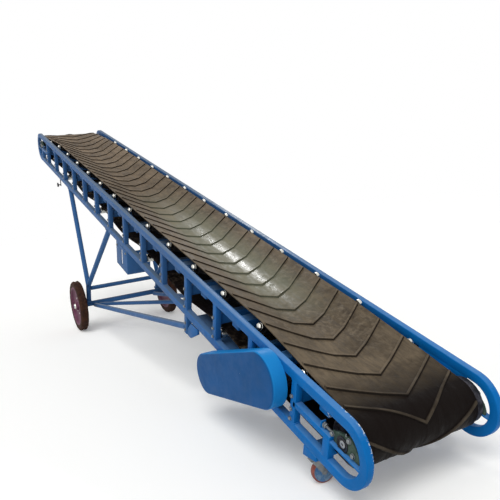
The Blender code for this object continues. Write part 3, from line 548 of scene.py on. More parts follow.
def plated(name, colour, rough, grain_mm=14):
    """Zinc-plated or ground steel: bright, with a soft spangle that varies its tone and polish."""
    tree, shader, coords = begin(name, rough, 1.0)
    spangle = node(tree, "ShaderNodeTexVoronoi",
                   {"Vector": coords, "Scale": 1000.0 / grain_mm}).outputs["Color"]
    value = node(tree, "ShaderNodeSeparateXYZ", {"Vector": spangle}).outputs["X"]
    tone = mix(tree, ramp(tree, value, 0, 1, 0.0, 0.35), colour, [c * 0.7 for c in colour[:3]] + [1.0])
    tree.links.new(tone, shader.inputs["Base Color"])
    tree.links.new(ramp(tree, value, 0, 1, rough - 0.06, rough + 0.12), shader.inputs["Roughness"])


def mottled(name, colour, second, rough, size_mm, relief, metal=0.0, grain_mm=3.0):
    """Plain finish with a second tone in patches and a fine relief, for castings, tyres and paint."""
    tree, shader, coords = begin(name, rough, metal, Specular_IOR_Level=0.16)
    patch = noise(tree, coords, size_mm, 6, 0.65, 0.5)
    tone = mix(tree, ramp(tree, patch, 0.42, 0.64), colour, second)
    tree.links.new(tone, shader.inputs["Base Color"])
    tree.links.new(ramp(tree, patch, 0.3, 0.7, rough - 0.07, rough + 0.1), shader.inputs["Roughness"])
    bump(tree, shader, noise(tree, coords, grain_mm, 3, 0.6), relief, 0.6)


def make_materials(scene):
    """Every finish of the conveyor."""
    finish = scene.conveyor_finish
    blue, pale_with_sheen = (*finish.paint, 1.0), (*finish.top_sheen_and_dust, 1.0)
    sprayed_enamel("sprayed_blue_enamel", blue, pale_with_sheen)
    # The guard's tops are painted much lighter, dust and a painted sky reflection, and its rim is painted
    # light
    sprayed_enamel("guard_enamel", linear("0a4f8a"), linear("2a94d6"), dust=0.85, greyed=0.0,
                   edge=linear("1a7cc0"))
    worn_rubber("belt_cover_rubber", (*finish.rubber, 1.0), linear("0d0705"), linear("8a7966"),
                linear("857866"))
    # Rolled steel tube in black primer, dusty
    mottled("black_primed_roller", linear("131315"), linear("242120"), 0.50, 60, 0.0004)
    # Sand-cast iron under grey-green primer: rough skin, dull
    mottled("primed_casting", linear("2e4038"), linear("4b5c52"), 0.62, 22, 0.0012, grain_mm=5)
    # Solid rubber tyre, browned by dust and sun
    mottled("dusty_tyre_rubber", linear("2c1a13"), linear("432a1e"), 0.80, 45, 0.0010)
    # Pressed wheel disc in red-violet paint, faded
    mottled("violet_disc_paint", (*finish.disc, 1.0), linear("6b3f55"), 0.48, 60, 0.0003)
    # Cast polyurethane tread: waxy, red-brown
    mottled("polyurethane_tread", linear("7a3c34"), linear("8f564b"), 0.50, 18, 0.0003)
    # Die-cast wheel centre, grey-blue
    mottled("caster_centre", linear("3f6c99"), linear("7d93a3"), 0.42, 20, 0.0003, metal=0.1)
    # Ribbed aluminium motor housing in grey-blue paint
    mottled("motor_paint", linear("3f5161"), linear("33414c"), 0.45, 50, 0.0004)
    # Phenolic resin knob: near black, slightly glossy
    mottled("black_phenolic", linear("151517"), linear("202024"), 0.33, 12, 0.0001)
    plated("zinc_plate", linear("d9d8d0"), 0.26)
    # Zinc dulled by weather, as on the screws and forks low on the frame
    plated("dulled_zinc", linear("85898b"), 0.42)
    # Shaft ends of ground mild steel, darker than zinc and more polished than the drums
    plated("ground_shaft_steel", linear("8f9296"), 0.24, 30)
    # Pulley shells of mild steel, polished by the belt's edge and dull elsewhere
    mottled("worn_drum_steel", linear("2b2a2b"), linear("57545a"), 0.45, 40, 0.0003, metal=0.5)


# Belt

def belt_line():
    """Closed inner line of the belt as (s, n, trough share) points, head to drum sagging on the return."""
    r = PULLEY_R + LIFT
    tail, head = PULLEY_INSET, BEND_SPAN - PULLEY_INSET
    arc = 40
    turns = [math.radians(-90 - 180 * k / arc) for k in range(arc + 1)]
    first, last = station(1), station(STATIONS - 2)
    line = [(tail + r * math.cos(a), PULLEY_N + r * math.sin(a), 0.0) for a in turns]
    top = line[-1][1]
    for k in range(1, 9):
        t = k / 8
        line.append((tail + (first - tail) * t, top + (BELT_SEAT - top) * t, t))
    for k in range(1, 41):
        line.append((first + (last - first) * k / 40, BELT_SEAT, 1.0))
    for k in range(1, 8):
        t = k / 8
        line.append((last + (head - last) * t, BELT_SEAT + (top - BELT_SEAT) * t, 1 - t))
    line += [(head - r * math.cos(a), PULLEY_N - r * math.sin(a), 0.0) for a in turns]
    drum = flat(centre("drive_drum"))
    low_head, low_drum = PULLEY_N - r, drum.z - DRUM_R - LIFT
    stops = [(head, low_head)] + [(station(i), RETURN_SEAT) for i in reversed(RETURN_STATIONS)]
    stops.append((drum.x, low_drum))
    for index, ((s0, n0), (s1, n1)) in enumerate(zip(stops, stops[1:])):
        if index:
            line.append((s0 - RETURN_PAD, n0, 0.0))
        dip = max(0.0, BELT_SAG - abs(n0 - n1))
        parts = max(4, round((s0 - s1) / 0.08))
        for k in range(1, parts):
            t = k / parts
            s = s0 + (s1 - s0) * t
            if index and s > s0 - RETURN_PAD or s < s1 + RETURN_PAD:
                continue
            ease = (1 - math.cos(math.pi * t)) / 2
            line.append((s, n0 + (n1 - n0) * ease - dip * (1 - math.cos(2 * math.pi * t)) / 2, 0.0))
        line.append((s1 + RETURN_PAD, n1, 0.0))
    line.append((drum.x - RETURN_PAD, low_drum, 0.0))
    return line


def table_object(name, points):
    """Loose vertices that a tree reads as a table."""
    mesh = bpy.data.meshes.new(name)
    mesh.from_pydata(points, [], [])
    return linked(name, mesh)


def belt_tree(material, per_rib, columns):
    """Geometry tree that lays one skin with chevron ribs round the belt's line."""
    tree, given = new_tree("belt_skin", [
        ("Ribs table", "Object"), ("Section table", "Object"), ("Rib count", "Int"), ("Pitch", "Float"),
        ("Splice", "Float"), ("Start", "Float"), ("Rib width", "Float"), ("Thickness", "Float"),
        ("Rib height", "Float"), ("Rib slope", "Float"), ("Rib reach", "Float"), ("Track", "Float"),
        ("Fold", "Float"), ("Trough", "Float")])

    def sums(operation, *values):
        return node(tree, "ShaderNodeMath", dict(enumerate(values)), operation=operation).outputs[0]

    def vectors(operation, key, *values):
        made = node(tree, "ShaderNodeVectorMath", operation=operation)
        for k, value in enumerate(values):
            if isinstance(value, bpy.types.NodeSocket):
                tree.links.new(value, made.inputs[k if operation != "SCALE" or k == 0 else 3])
            else:
                made.inputs[k].default_value = value
        return made.outputs[key]

    def read(table, index):
        source = node(tree, "GeometryNodeObjectInfo", {"Object": table}, transform_space="ORIGINAL")
        place_of = node(tree, "GeometryNodeInputPosition").outputs[0]
        made = node(tree, "GeometryNodeSampleIndex",
                    {"Geometry": source.outputs["Geometry"], "Value": place_of,
                     "Index": index}, data_type="FLOAT_VECTOR")
        return node(tree, "ShaderNodeSeparateXYZ", {"Vector": made.outputs[0]}).outputs

    rows = sums("ADD", sums("MULTIPLY", given["Rib count"], per_rib), 1.0)
    grid = node(tree, "GeometryNodeMeshGrid", {"Vertices X": rows, "Vertices Y": columns})
    index = node(tree, "GeometryNodeInputIndex").outputs[0]
    row = sums("FLOOR", sums("DIVIDE", sums("ADD", index, 0.5), float(columns)))
    column = sums("SUBTRACT", index, sums("MULTIPLY", row, float(columns)))
    rib = sums("FLOOR", sums("DIVIDE", sums("ADD", row, 0.5), float(per_rib)))
    step = sums("SUBTRACT", row, sums("MULTIPLY", rib, float(per_rib)))
    offset, rise, share_left = read(given["Ribs table"], step)
    v, skin, mask = read(given["Section table"], column)
    off_track = sums("ABSOLUTE", sums("SUBTRACT", v, given["Track"]))
    lag = sums("MULTIPLY", sums("MINIMUM", off_track, given["Rib reach"]), given["Rib slope"])
    short = sums("SUBTRACT", given["Pitch"], given["Splice"])
    past = sums("MAXIMUM", sums("SUBTRACT", sums("ADD", rib, 1.0), given["Rib count"]), 0.0)
    begun = sums("SUBTRACT", sums("MULTIPLY", rib, given["Pitch"]), sums("MULTIPLY", past, short))
    at_splice = sums("COMPARE", rib, sums("SUBTRACT", given["Rib count"], 1.0), 0.5)
    left = sums("SUBTRACT", sums("SUBTRACT", given["Pitch"], given["Rib width"]),
                sums("MULTIPLY", at_splice, short))
    offset = sums("ADD", offset, sums("MULTIPLY", share_left, left))
    run = sums("ADD", sums("ADD", begun, given["Start"]), sums("ADD", offset, lag))
    line = node(tree, "GeometryNodeMeshToCurve", {"Mesh": given["Geometry"]}).outputs[0]
    length = node(tree, "GeometryNodeCurveLength", {"Curve": line}).outputs[0]
    run = sums("FLOORED_MODULO", run, length)
    share = node(tree, "GeometryNodeInputNamedAttribute", {"Name": "share"}, data_type="FLOAT").outputs[0]
    sample = node(tree, "GeometryNodeSampleCurve", {"Curves": line, "Value": share, "Length": run},
                  mode="LENGTH", data_type="FLOAT", use_all_curves=False)
    out = vectors("NORMALIZE", "Vector", vectors("CROSS_PRODUCT", "Vector", sample.outputs["Tangent"],
                                                 (0.0, 1.0, 0.0)))
    reach = sums("ABSOLUTE", v)
    slope = sums("ARCTANGENT", sums("MULTIPLY", given["Trough"], sample.outputs[0]))
    wing = sums("MAXIMUM", sums("SUBTRACT", reach, given["Fold"]), 0.0)
    y = sums("ADD", sums("MINIMUM", reach, given["Fold"]), sums("MULTIPLY", wing, sums("COSINE", slope)))
    y = sums("MULTIPLY", y, sums("SIGN", v))
    wing = sums("MULTIPLY", wing, sums("SINE", slope))
    lift = sums("ADD", sums("MULTIPLY", skin, given["Thickness"]),
                sums("MULTIPLY", sums("MULTIPLY", rise, mask), given["Rib height"]))
    lift = sums("ADD", lift, wing)
    side = node(tree, "ShaderNodeCombineXYZ", {"Y": y}).outputs[0]
    spot = vectors("ADD", "Vector", sample.outputs["Position"],
                   vectors("ADD", "Vector", side, vectors("SCALE", "Vector", out, lift)))
    # X marks the rib tops; Y marks the tail-facing flank, which the rubber paints near black as painted
    # shade
    rib_tops_and_shade = node(tree, "ShaderNodeCombineXYZ", {"X": sums("MULTIPLY", rise, mask),
                                                "Y": sums("MULTIPLY", sums("LESS_THAN", step, 1.5), mask)})
    laid = node(tree, "GeometryNodeSetPosition", {"Geometry": grid.outputs[0], "Position": spot})
    laid = node(tree, "GeometryNodeStoreNamedAttribute", {"Geometry": laid.outputs[0], "Name": "rib_marks",
                                                          "Value": rib_tops_and_shade.outputs[0]},
                data_type="FLOAT_VECTOR")
    joined = node(tree, "GeometryNodeMergeByDistance", {"Geometry": laid.outputs[0], "Distance": 0.00002})
    return end_tree(tree, joined.outputs[0], material)


def belt_section(width, track, reach):
    """Closed cross-section as (v, skin, rib) points: over the top from one edge, then back underneath."""
    fold = CENTRE_ROLL / 2
    top = []
    for side in (-1, 1):
        tip, edge = track + side * reach, track + side * width / 2
        half = [(track + (side * fold - track) * k / 4, 1.0) for k in range(1, 4)]
        half += [(side * (fold - 0.012), 1.0), (side * fold, 1.0), (side * (fold + 0.012), 1.0)]
        half += [(side * fold + (tip - side * fold) * k / 7, 1.0) for k in range(1, 7)]
        half += [(tip - side * 0.004, 1.0), (tip - side * 0.0005, 1.0), (tip + side * 0.002, 0.0),
                 (edge - side * 0.0025, 0.0)]
        half = [(v, 1.0, mask) for v, mask in half] + [(edge, 0.70, 0.0), (edge, 0.30, 0.0)]
        top += half if side > 0 else half[::-1] + [(track, 1.0, 1.0)]
    folds = [fold + 0.012, fold, fold - 0.012]
    under = [track + width / 2 - 0.0025, *folds, *(-v for v in reversed(folds)), track - width / 2 + 0.0025]
    loop = top + [(v, 0.0, 0.0) for v in under]
    return loop + loop[:1]


def make_belt(scene):
    """The belt's skin in place of the frame's plain one."""
    size = scene.conveyor_belt
    line = belt_line()
    mesh = bpy.data.meshes.new("belt_cover")
    count = len(line)
    mesh.from_pydata([place(s, 0, n) for s, n, _ in line], [(k, (k + 1) % count) for k in range(count)], [])
    mesh.attributes.new("share", "FLOAT", "POINT").data.foreach_set("value",
                                                                    [share for _, _, share in line])
    belt = linked("belt_cover", mesh)
    spots = [Vector((s, 0, n)) for s, n, _ in line]
    length = sum((b - a).length for a, b in zip(spots, spots[1:] + spots[:1]))
    ribs = 1 + round((length - size.splice) / size.pitch)
    pitch = (length - size.splice) / (ribs - 1)
    to_top = sum((b - a).length for a, b in zip(spots[:40], spots[1:41]))
    flank = 0.0045
    used = size.rib_width + 2 * flank
    start = to_top + size.first_apex - PULLEY_INSET - used / 2
    steps = [(0.0, 0.0), (flank * 0.75, 0.9), (flank * 1.1, 1.0), (used - flank * 1.1, 1.0),
             (used - flank * 0.75, 0.9), (used, 0.0)]
    steps = ([(a, b, 0.0) for a, b in steps] + [(used, 0.0, k / 6) for k in range(1, 6)]
             + [(used - 0.006, 0.0, 1.0)])
    reach = size.width / 2 - 0.010
    section = belt_section(size.width, size.track, reach)
    tables = [table_object("rib_table", steps), table_object("section_table", section)]
    tree = belt_tree(MATERIALS["belt_cover_rubber"], len(steps), len(section))
    bake(belt, tree,
         {"Ribs table": tables[0], "Section table": tables[1], "Rib count": ribs, "Pitch": pitch,
          "Splice": size.splice, "Start": start, "Rib width": used, "Thickness": size.thickness,
          "Rib height": size.rib_height, "Rib slope": size.rib_slope, "Rib reach": reach,
          "Track": size.track, "Fold": CENTRE_ROLL / 2, "Trough": TROUGH})
    for table in tables:
        bpy.data.objects.remove(table)
    fit(belt, MATERIALS["belt_cover_rubber"], "frame", "belt", "belt")


# Fasteners and caps

def scatter_tree():
    """Geometry tree that stands one part on every marked point, turned about its own axis at random."""
    tree, given = new_tree("parts_on_points", [("Part", "Object"), ("Size", "Float"), ("Seed", "Int"),
                                               ("Material", "Material")])
    part = node(tree, "GeometryNodeObjectInfo", {"Object": given["Part"]}, transform_space="ORIGINAL")
    aim = node(tree, "GeometryNodeInputNamedAttribute", {"Name": "aim"},
               data_type="FLOAT_VECTOR").outputs[0]
    spin = node(tree, "FunctionNodeRandomValue", {"Seed": given["Seed"]}, data_type="FLOAT")
    spin.inputs[3].default_value = math.pi
    own = node(tree, "ShaderNodeCombineXYZ", {"Z": spin.outputs[1]}).outputs[0]
    spun = node(tree, "FunctionNodeEulerToRotation", {"Euler": own}).outputs[0]
    stand = node(tree, "FunctionNodeAlignRotationToVector", {"Vector": aim}, axis="Z").outputs[0]
    turn = node(tree, "FunctionNodeRotateRotation", {"Rotation": stand, "Rotate By": spun},
                rotation_space="LOCAL").outputs[0]
    size = node(tree, "ShaderNodeCombineXYZ", {"X": given["Size"], "Y": given["Size"], "Z": given["Size"]})
    placed = node(tree, "GeometryNodeInstanceOnPoints", {"Points": given["Geometry"],
                                                         "Instance": part.outputs["Geometry"],
                                                         "Rotation": turn, "Scale": size.outputs[0]})
    return end_tree(tree, placed.outputs[0], given["Material"])


def scatter(name, part, spots, material, body, slot, seed=7):
    """One piece of many copies of a part, each at a (place, direction) pair; the part itself goes."""
    mesh = bpy.data.meshes.new(name)
    mesh.from_pydata([p for p, _ in spots], [], [])
    aims = [c for _, aim in spots for c in Vector(aim).normalized()]
    mesh.attributes.new("aim", "FLOAT_VECTOR", "POINT").data.foreach_set("vector", aims)
    obj = linked(name, mesh)
    tree = bpy.data.node_groups.get("parts_on_points") or scatter_tree()
    bake(obj, tree, {"Part": part, "Size": 1.0, "Seed": seed, "Material": material})
    bpy.data.objects.remove(part)
    return fit(obj, material, body, slot)


def bolt_part(d):
    """Hexagon head on a washer, for a thread of diameter d, standing on z = 0."""
    bm = bmesh.new()
    turned(bm, [(0, 0), (1.05 * d, 0), (1.08 * d, 0.04 * d), (1.08 * d, 0.16 * d), (1.02 * d, 0.2 * d),
                (0, 0.2 * d)], sides=20)
    turned(bm,
           [(0, 0.19 * d), (0.95 * d, 0.19 * d), (0.95 * d, 0.72 * d), (0.83 * d, 0.84 * d), (0, 0.84 * d)],
           sides=6)
    return as_object("bolt_part", bm)


def cap_part(r):
    """Domed pressed cap with a rim, its mouth at z = 0."""
    bm = bmesh.new()
    profile = [(0, 0.0), (r * 1.08, 0.0), (r * 1.08, 0.002), (r, 0.003), (r, 0.012)]
    for k in range(1, 7):
        a = math.radians(15 * k)
        profile.append((r * math.cos(a), 0.012 + r * 0.55 * math.sin(a)))
    turned(bm, profile[:-1] + [(0, profile[-1][1])], sides=24)
    return as_object("cap_part", bm)


def roller_caps(scene):
    """Domed caps on the outer ends of the carrying rollers."""
    spots, pulley_top = [], PULLEY_N + PULLEY_R
    for i in range(STATIONS):
        share = trough_share(i)
        slope = math.atan(TROUGH * share)
        top = BELT_SEAT if share >= 1 else pulley_top + (BELT_SEAT - pulley_top) * share
        n = top - ROLLER_R / math.cos(slope) + (CAP_Y - CENTRE_ROLL / 2) * math.tan(slope)
        for side in (-1, 1):
            aim = facing(0, side * math.cos(slope), math.sin(slope))
            spots.append((place(station(i), side * CAP_Y, n), aim))
    part = cap_part(scene.conveyor_hardware.cap)
    scatter("roller_end_caps", part, spots, MATERIALS["zinc_plate"], "frame", "zinc")


def frame_bolts(scene):
    """Hexagon bolts on the posts, lugs, leg seats, hanger and motor plate."""
    spots, under, out_y = [], -FRAME_DEPTH / 2, HALF - POST_INSET
    for side in (-1, 1):
        out = facing(0, side, 0)
        for i in range(STATIONS):
            for n in (0.027, -0.045, -0.100):
                spots.append((place(station(i) - 0.011, side * out_y, n), out))
        for n in (-0.215, -0.265):
            spots.append((place(station(LUG_STATION) - 0.021, side * out_y, n), out))
        for s in LEG_SEATS:
            for x in (-0.045, 0.045):
                spots.append((place(s + x, side * (HALF - TUBE_DEPTH / 2), under - 0.0083),
                              facing(0, 0, -1)))
        for s in (1.0, 1.58):
            spots.append((place(s, side * (HALF - TUBE_DEPTH / 2), under - 0.0083), facing(0, 0, -1)))
    for s in (2.90, 3.13):
        spots.append((place(s, HALF, under - 0.025), facing(0, 1, 0)))
    for y in (0.26, 0.06):
        for s in (MOTOR_S - 0.066, MOTOR_S + 0.066):
            spots.append((place(s, y, under - 0.0203), facing(0, 0, -1)))
    part = bolt_part(scene.conveyor_hardware.bolt)
    scatter("frame_bolts", part, spots, MATERIALS["dulled_zinc"], "frame", "zinc",
            seed=scene.conveyor_hardware.seed)


# Frame

SIDES = ((1, "left"), (-1, "right"))
STUB_PLATE = ((1.645, -0.262), (1.582, -0.188), (1.495, -0.180), (1.478, -0.190), (1.478, -0.215),
              (1.580, -0.292), (1.605, -0.296), (1.645, -0.290))


def post_foot(i):
    """Lower end of post i; one runs on below the chord as the braces' lug."""
    return -0.294 if i == LUG_STATION else -REACH


def side_frames():
    """Side frames: bent tube loops with posts, end rails and return brackets, their edges eased."""
    thin, ledge_y = (INNER + 0.0005, HALF - 0.0005), (INNER + 0.001, HALF - 0.001)
    lug_y = (INNER + 0.006, HALF - 0.006)
    for side, name in SIDES:
        bm = bmesh.new()
        path = []
        for middle, start in ((BEND_SPAN, -90), (0.0, 90)):
            for k in range(33):
                a = math.radians(start + 180 * k / 32)
                path.append((middle + REACH * math.cos(a), side * (INNER + HALF) / 2, REACH * math.sin(a)))
        sweep(bm, path, eased(TUBE_DEPTH, CHORD - 0.0004, 0.0045), ACROSS, closed=True)
        for i in range(STATIONS):
            block(bm, (station(i) - POST_WIDTH, station(i)), thin, (post_foot(i), REACH), side, 0.003)
        plate(bm, STUB_PLATE, sorted((side * (HALF - 0.020), side * (HALF - 0.004))))
        for end, way, post in ((0.0, 1, station(0)), (BEND_SPAN, -1, station(STATIONS - 1))):
            at = end + way * PULLEY_INSET
            block(bm, (at + way * 0.068, post - POST_WIDTH / 2), thin, (-0.025, 0.005), side, 0.003)
            block(bm, (end - way * REACH, at + way * 0.115), ledge_y, (-0.024, -0.015), side)
            block(bm, (at + way * 0.068, at + way * 0.115), thin, (-REACH, -0.020), side, 0.003)
            block(bm, (at + way * 0.140, at + way * 0.146), lug_y, (0.0, 0.040), side, 0.001)
        block(bm, (0.04, BEND_SPAN - 0.04), (INNER + 0.0005, INNER + 0.0035), (0.078, 0.118), side, 0.0005)
        for i in RETURN_STATIONS:
            block(bm, (station(i) - 0.03, station(i) + 0.03), (INNER - 0.006, INNER + 0.0015),
                  (-0.145, -0.0683), side, 0.001)
        fit(as_object(name + "_frame_tubes", bm, matrix=CONVEYOR), MATERIALS["sprayed_blue_enamel"],
            "frame", "blue", name + "_side_frame")


def weld_beads():
    """Fillet welds where the posts meet the chords, as ripples along each joint."""
    spots, edge = [], FRAME_DEPTH / 2 - CHORD
    for side, _ in SIDES:
        for i in range(STATIONS):
            for face, way in ((station(i), 1), (station(i) - POST_WIDTH, -1)):
                for up in (-1, 1):
                    for k in range(10):
                        y = side * (INNER + 0.003 + k * 0.0036)
                        spots.append((place(face + way * 0.0005, y, up * (edge - 0.0005)),
                                      facing(way, 0, -up)))
    bm = bmesh.new()
    turned(bm, [(0, -0.002), (0.0042, -0.001), (0.0038, 0.0018), (0.002, 0.0030), (0, 0.0034)], sides=6)
    part = as_object("bead_part", bm, 80)
    scatter("weld_beads", part, spots, MATERIALS["sprayed_blue_enamel"], "frame", "blue")


def deck():
    """Rungs and deep bars under the belt, on two stringers."""
    bm = bmesh.new()
    reach = INNER + 0.0002
    for side, _ in SIDES:
        block(bm, (station(0) - STATION_PITCH / 2, station(STATIONS - 1)), (0.125, 0.140), (0.034, 0.052),
              side)
    for i in range(STATIONS):
        at, mid = station(i), station(i) - STATION_PITCH / 2
        block(bm, (at - 0.020, at + 0.020), (-reach, reach), (-0.025, 0.044))
        block(bm, (mid - 0.036, mid + 0.036), (-reach, reach), (0.050, 0.100))
    fit(as_object("deck_rungs", bm, matrix=CONVEYOR), MATERIALS["sprayed_blue_enamel"], "frame", "blue",
        "deck_ladder")


def rework(node_name, name, material, slot, ease=0.0015):
    """Copy of a frame node with its edges eased, in place of the node."""
    bm = bmesh.new()
    bm.from_mesh(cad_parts[node_name].data)
    bmesh.ops.remove_doubles(bm, verts=bm.verts, dist=2e-6)
    bmesh.ops.dissolve_limit(bm, angle_limit=0.01, verts=bm.verts, edges=bm.edges)
    sharp = [e for e in bm.edges if e.is_manifold and e.calc_face_angle(0) > 0.7]
    bmesh.ops.bevel(bm, geom=sharp, offset=ease, segments=2, profile=0.5, affect="EDGES",
                    clamp_overlap=True)
    bmesh.ops.triangulate(bm, faces=[f for f in bm.faces if len(f.verts) > 4])
    fit(as_object(name, bm), MATERIALS[material], "frame", slot, node_name)


def plain_parts():
    """Folded and flat parts whose shape is the frame's own, with eased edges."""
    for node_name, name in (("tail_channel", "tail_cross_channel"), ("motor_plate", "motor_base_plate"),
                            ("hanging_bracket", "slotted_hanger")):
        rework(node_name, name, "sprayed_blue_enamel", "blue")
    for _, name in SIDES:
        rework(name + "_drum_bearing", name + "_drum_block", "primed_casting", "cast")


# Undercarriage

def axle_middle(y=0.0):
    """Axle's centre in the conveyor's own plane."""
    spot = flat(centre("left_road_wheel"))
    return Vector((spot.x, y, spot.z))


def undercarriage():
    """Legs, braces and axle of round tube with their seats and collars."""
    bm = bmesh.new()
    leg_y, seat, axle_r = HALF - 0.008, -FRAME_DEPTH / 2 - SEAT_GAP, 0.027
    face = station(LUG_STATION) + SEAT_GAP
    for side, _ in SIDES:
        low_y, top_y = side * leg_y, side * (INNER + HALF) / 2
        joint = Vector((LEG_S, low_y, LEG_N))
        for s in LEG_SEATS:
            top = Vector((s, top_y, seat))
            tube(bm, top - (top - joint).normalized() * 0.004, joint, 0.024)
            block(bm, (s - 0.06, s + 0.06), (INNER, HALF), (seat - 0.008, seat), side, 0.001)
        hub = axle_middle(low_y)
        tube(bm, joint + (joint - hub).normalized() * 0.03, hub + Vector((0, 0, axle_r + 0.006)), 0.025)
        block(bm, (hub.x - 0.04, hub.x + 0.04), (leg_y - 0.024, leg_y + 0.024),
              (hub.z + axle_r, hub.z + axle_r + 0.02), side, 0.003)
        start = axle_middle(side * (leg_y - 0.055)) + Vector((-axle_r - 0.0223, 0, 0))
        end = Vector((station(LUG_STATION) - POST_WIDTH / 2, top_y, -0.250))
        tube(bm, start, start.lerp(end, (face - start.x) / (end.x - start.x)), 0.022)
    start = axle_middle(leg_y - 0.11) + Vector((-axle_r - 0.024, 0, 0))
    end = Vector((station(LUG_STATION) - POST_WIDTH / 2, -(INNER + HALF) / 2, -0.200))
    tube(bm, start, start.lerp(end, (face - start.x) / (end.x - start.x)), 0.019)
    low_n = LEG_N - 0.030
    tube(bm, (LEG_S, 0.0256 - leg_y, low_n), (LEG_S, leg_y - 0.0256, low_n), 0.022)
    beam, end = HALF + 0.052, HALF + WHEEL_GAP + WHEEL_WIDTH + 0.012
    profile = [(0, -end), (0.013, -end), (0.015, 0.002 - end), (0.015, -beam), (0.0255, -beam),
               (axle_r, 0.0015 - beam)]
    turned(bm, profile + [(r, -h) for r, h in reversed(profile)],
           upright(axle_middle(), ACROSS), 32)
    fit(as_object("undercarriage_tubes", bm, matrix=CONVEYOR), MATERIALS["sprayed_blue_enamel"], "frame",
        "blue", "left_leg", "right_leg", "left_brace", "right_brace", "cross_brace", "upper_cross_tube",
        "axle_beam")


def road_wheels():
    """Solid tyres with a lugged tread, dished discs, hub caps and wheel bolts."""
    wide, outer = WHEEL_WIDTH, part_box("left_road_tyre")[1].z - centre("left_road_tyre").z
    rim = outer - 0.060
    for side, name in SIDES:
        hub = centre(name + "_road_wheel")
        inner = Vector((hub.x, side * (HALF + WHEEL_GAP), hub.z))
        stand = upright(inner, (0, side, 0))
        bm, rows = bmesh.new(), []
        for k in range(120):
            a = 2 * math.pi * k / 120
            cut = 0.0075 if k % 6 >= 4 else 0.0
            across = ((rim + 0.0003, 0.006), (rim + 0.0003, wide - 0.006), (outer - 0.034, wide - 0.001),
                      (outer - 0.014 - cut / 2, wide - 0.004), (outer - 0.004 - cut, wide - 0.013),
                      (outer - cut, wide - 0.019), (outer - cut, 0.055), (outer - 0.007, 0.052),
                      (outer - 0.007, 0.033),
                      (outer - cut, 0.030), (outer - cut, 0.019), (outer - 0.004 - cut, 0.013),
                      (outer - 0.014 - cut / 2, 0.004), (outer - 0.034, 0.001))
            rows.append([stand @ Vector((r * math.cos(a), r * math.sin(a), h)) for r, h in across])
        loft(bm, rows, closed=True)
        fit(as_object(name + "_tyre", bm), MATERIALS["dusty_tyre_rubber"], name + "_road_wheel", "tyre",
            name + "_road_tyre")
        bm = bmesh.new()
        out = [(0.016, wide - 0.004), (0.040, wide - 0.004), (0.044, wide - 0.008), (0.048, wide - 0.030),
               (0.054, wide - 0.035), (0.100, wide - 0.039), (0.125, wide - 0.031),
               (rim - 0.036, wide - 0.028),
               (rim - 0.022, wide - 0.018), (rim - 0.016, wide - 0.006), (rim - 0.010, wide - 0.003),
               (rim, wide - 0.004)]
        turned(bm, out + [(r, wide - h) for r, h in reversed(out)], stand, 72, closed=True)
        fit(as_object(name + "_wheel_disc", bm), MATERIALS["violet_disc_paint"], name + "_road_wheel",
            "rim", name + "_road_wheel")
        bm = bmesh.new()
        turned(bm, [(0, wide - 0.006), (0.026, wide - 0.006), (0.028, wide - 0.003), (0.026, wide + 0.006),
                    (0.017, wide + 0.0105), (0, wide + 0.0115)], stand, 32)
        fit(as_object(name + "_hub_cap", bm), MATERIALS["zinc_plate"], name + "_road_wheel", "zinc")
        spots = []
        for k in range(6):
            a = math.radians(60 * k + 14)
            spots.append((stand @ Vector((0.082 * math.cos(a), 0.082 * math.sin(a), wide - 0.0375)),
                          (0, side, 0)))
        part = bolt_part(WHEEL_BOLT)
        scatter(name + "_wheel_bolts", part, spots, MATERIALS["zinc_plate"], name + "_road_wheel", "zinc")


